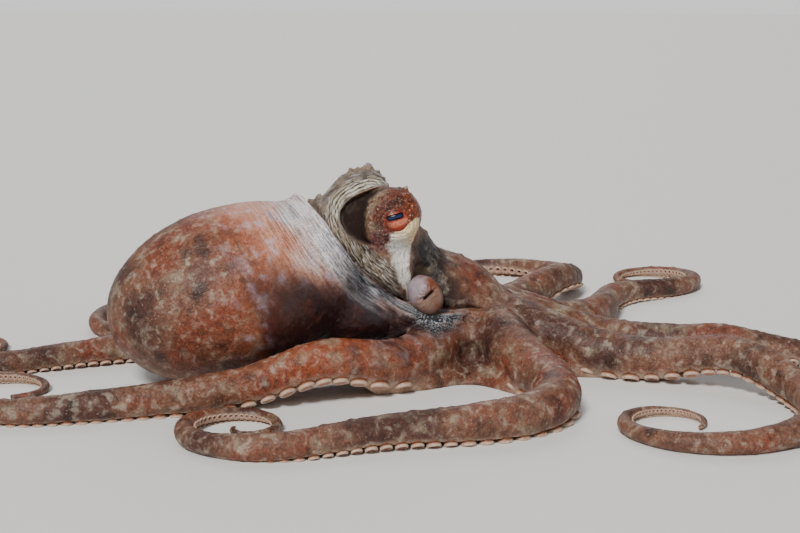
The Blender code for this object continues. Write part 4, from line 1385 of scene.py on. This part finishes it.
def funnel_mesh():
    """The funnel: pale at its upper left as painted light, copper above and beside, painted shade on the
    lower right of its rim and in the slit.
    """
    neck, out, right, up = funnel_axes()
    rings = funnel_rings()
    mesh = ring_mesh("funnel", rings[None])
    places = rings.reshape(-1, 3)
    flat = np.stack([(places - neck) @ right, (places - neck) @ up], axis=1)
    along, across = slit_places(flat)
    angle, far = np.degrees(np.arctan2(flat[:, 1], flat[:, 0])), np.hypot(*flat.T)
    spots = lumps(places, 3.5, 2, 135)
    tint = np.tile(COLOURS["clay"], (len(places), 1))
    # Painted light: pale lilac over the upper left, clay elsewhere
    paint(tint, "haze", 0.95 * ease(flat @ np.array([-0.75, 0.66]) + 1.6 * spots, -0.5, 4.0))
    outward = ease(far + 2.0 * spots, 2.0, 5.5)
    warm = outward * (0.95 * bell(angle, 62.0, 42.0) + 0.65 * bell(angle, -38.0, 26.0))
    paint(tint, "copper", warm + 0.35 * spots)
    oval = turned(flat, -FUNNEL_TURN) / np.array(FUNNEL_HALF)[::-1]
    rim = ease(np.linalg.norm(oval, axis=1), 0.8, 1.0)
    # Painted shade along the lower right of the rim
    paint(tint, "umber", 0.75 * rim * ease(flat @ np.array([0.8, -0.6]), -4.0, 4.0))
    # Painted shade in the slit
    crack = bell(across, 0.0, 0.35) * ease(np.abs(along), 3.3, 2.2)
    paint(tint, "dark", crack * ((places - neck) @ out > 1.0))
    store_tint(mesh, tint)
    return mesh


def sucker_mesh(name):
    """Two staggered rows of cups along the sucker side of an arm, as one mesh."""
    share, centres, tangent, oral, lateral = arm_frames(name)
    along, radius = share * ARMS[name][1], arm_radius(name, share)
    rng = np.random.default_rng(RING.index(name))
    first, last = (reach * ARMS[name][1] for reach in SUCKER_REACH)
    spots = []
    for row in (-1, 1):
        at = first + (row > 0) * 0.5 * SUCKER_PITCH * np.interp(first, along, radius)
        while at < last:
            spots.append((at, row, rng.uniform(0.93, 1.05)))
            at += SUCKER_PITCH * np.interp(at, along, radius)
    at, row, size = np.array(spots).T
    thick = np.interp(at, along, radius)
    place, ahead, down, side = (along_line(at, along, values)
                                for values in (centres, tangent, oral, lateral))
    deep, wide = arm_section(math.radians(SUCKER_TURN) * row)
    base = place + thick[:, None] * (deep[:, None] * down + wide[:, None] * side)
    lean = math.radians(SUCKER_LEAN) * row
    out = unit(np.cos(lean)[:, None] * down + np.sin(lean)[:, None] * side)
    ahead = unit(ahead - (ahead * out).sum(axis=1)[:, None] * out)
    across = np.cross(out, ahead)
    turn = circle_angles(SUCKER_SIDES)[None, :, None]
    round_places = np.cos(turn) * ahead[:, None] + np.sin(turn) * across[:, None]
    cup = np.array(SUCKER_CUP)
    grown = (SUCKER_SIZE * thick * size)[:, None, None, None]
    rings = base[:, None, None] + grown * (cup[None, :, :1, None] * round_places[:, None]
                                           + cup[None, :, 1:, None] * out[:, None, None])
    rings[..., 2] = np.maximum(rings[..., 2], 0.0)
    mesh = ring_mesh("suckers", rings)
    # Colours from the foot over the rim and down into the cup, the umber and dark rings at its bottom
    # painted shade in the cup's hollow
    shades = np.array([COLOURS[key] for key in ("copper", "copper", "sucker", "sucker", "sucker", "cup",
                                                "cup", "umber", "dark")])
    tint = np.tile(np.repeat(shades, SUCKER_SIDES, axis=0), (len(base), 1))
    store_tint(mesh, tint)
    return mesh


def view_axes():
    """The camera's right, up and backward directions."""
    a, e = math.radians(VIEW_AZIMUTH), math.radians(VIEW_ELEVATION)
    back = Vector((math.sin(a) * math.cos(e), -math.cos(a) * math.cos(e), math.sin(e)))
    right = Vector((0.0, 0.0, 1.0)).cross(back).normalized()
    return right, back.cross(right), back


def make_camera():
    """The camera stands level with its aim and is shifted so the eye lands on its place."""
    right, up, back = view_axes()
    camera = bpy.data.cameras.new("camera")
    camera.lens = LENS
    camera.sensor_width = SENSOR
    camera.shift_x = 0.5 - EYE_PIXEL[0] / PICTURE[0]
    camera.shift_y = (EYE_PIXEL[1] - PICTURE[1] / 2.0) / PICTURE[0]
    camera.clip_start = 0.01
    obj = link("camera", camera)
    eye = Vector(mirrored(EYE_CENTRE, -1))
    obj.location = (eye + back * VIEW_DISTANCE) * MM
    obj.rotation_euler = Matrix((right, up, back)).transposed().to_euler()
    bpy.context.scene.camera = obj


def make_lights():
    """Broad even lights from far off, and a backdrop as bright as the floor where they meet."""
    for name, (place, spread, strength, colour) in LIGHTS.items():
        light = bpy.data.lights.new(name, "SUN")
        light.angle = math.radians(spread)
        light.energy = strength
        light.color = colour
        obj = link(name, light)
        obj.location = place
        obj.rotation_euler = Vector(place).to_track_quat("Z", "Y").to_euler()
    world = bpy.data.worlds.new("studio")
    world.use_nodes = True
    tree = world.node_tree
    backdrop = tree.nodes["Background"]
    backdrop.inputs["Color"].default_value = BACKDROP_COLOUR
    direction = tree.nodes.new("ShaderNodeTexCoord")
    parts = tree.nodes.new("ShaderNodeSeparateXYZ")
    fade = tree.nodes.new("ShaderNodeMapRange")
    for key, value in zip(("From Min", "From Max", "To Min", "To Max"), BACKDROP_FADE):
        fade.inputs[key].default_value = value
    tree.links.new(direction.outputs["Generated"], parts.inputs["Vector"])
    tree.links.new(parts.outputs["Z"], fade.inputs["Value"])
    tree.links.new(fade.outputs[0], backdrop.inputs["Strength"])
    bpy.context.scene.world = world


def make_floor():
    bm = bmesh.new()
    bmesh.ops.create_circle(bm, cap_ends=True, segments=96, radius=FLOOR_RADIUS)
    floor = link("floor", mesh_from_bmesh("floor", bm))
    plain = Shader("floor")
    plain.put(plain.surface, Base_Color=FLOOR_COLOUR, Roughness=0.6)
    floor.data.materials.append(plain.material)


def add_piece(name, mesh, material, slot, *nodes):
    """A piece of the model that rides on the body and stands for the named nodes."""
    piece = link(name, mesh)
    mesh.materials.append(material)
    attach(piece, "root")
    if nodes:
        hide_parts(*nodes)


def make_skin():
    shaped, arms = shaped_skin()
    tint, looks, flow = painted(shaped, arms)
    store_tint(shaped.mesh, tint)
    store(shaped.mesh, "flow", "FLOAT_VECTOR", flow)
    for name, values in looks.items():
        store(shaped.mesh, name, "FLOAT", values)
    shaped.mesh.shade_smooth()
    flesh = [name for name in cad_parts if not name.startswith("eye_") and name != "funnel"]
    add_piece("skin", shaped.mesh, skin_material(), "skin", *flesh)


def main():
    make_camera()
    make_lights()
    make_floor()
    make_skin()
    wet = eye_material()
    add_piece("eyeball_right", eye_piece(-1), wet, "eye", "eye_right")
    add_piece("eyeball_left", eye_piece(1), wet, "eye", "eye_left")
    add_piece("siphon", funnel_mesh(), pale_material("siphon", 0.30), "pale_skin", "funnel")
    cups = pale_material("suckers", 0.36)
    for name in RING:
        add_piece("suckers_" + name, sucker_mesh(name), cups, "pale_skin")


main()
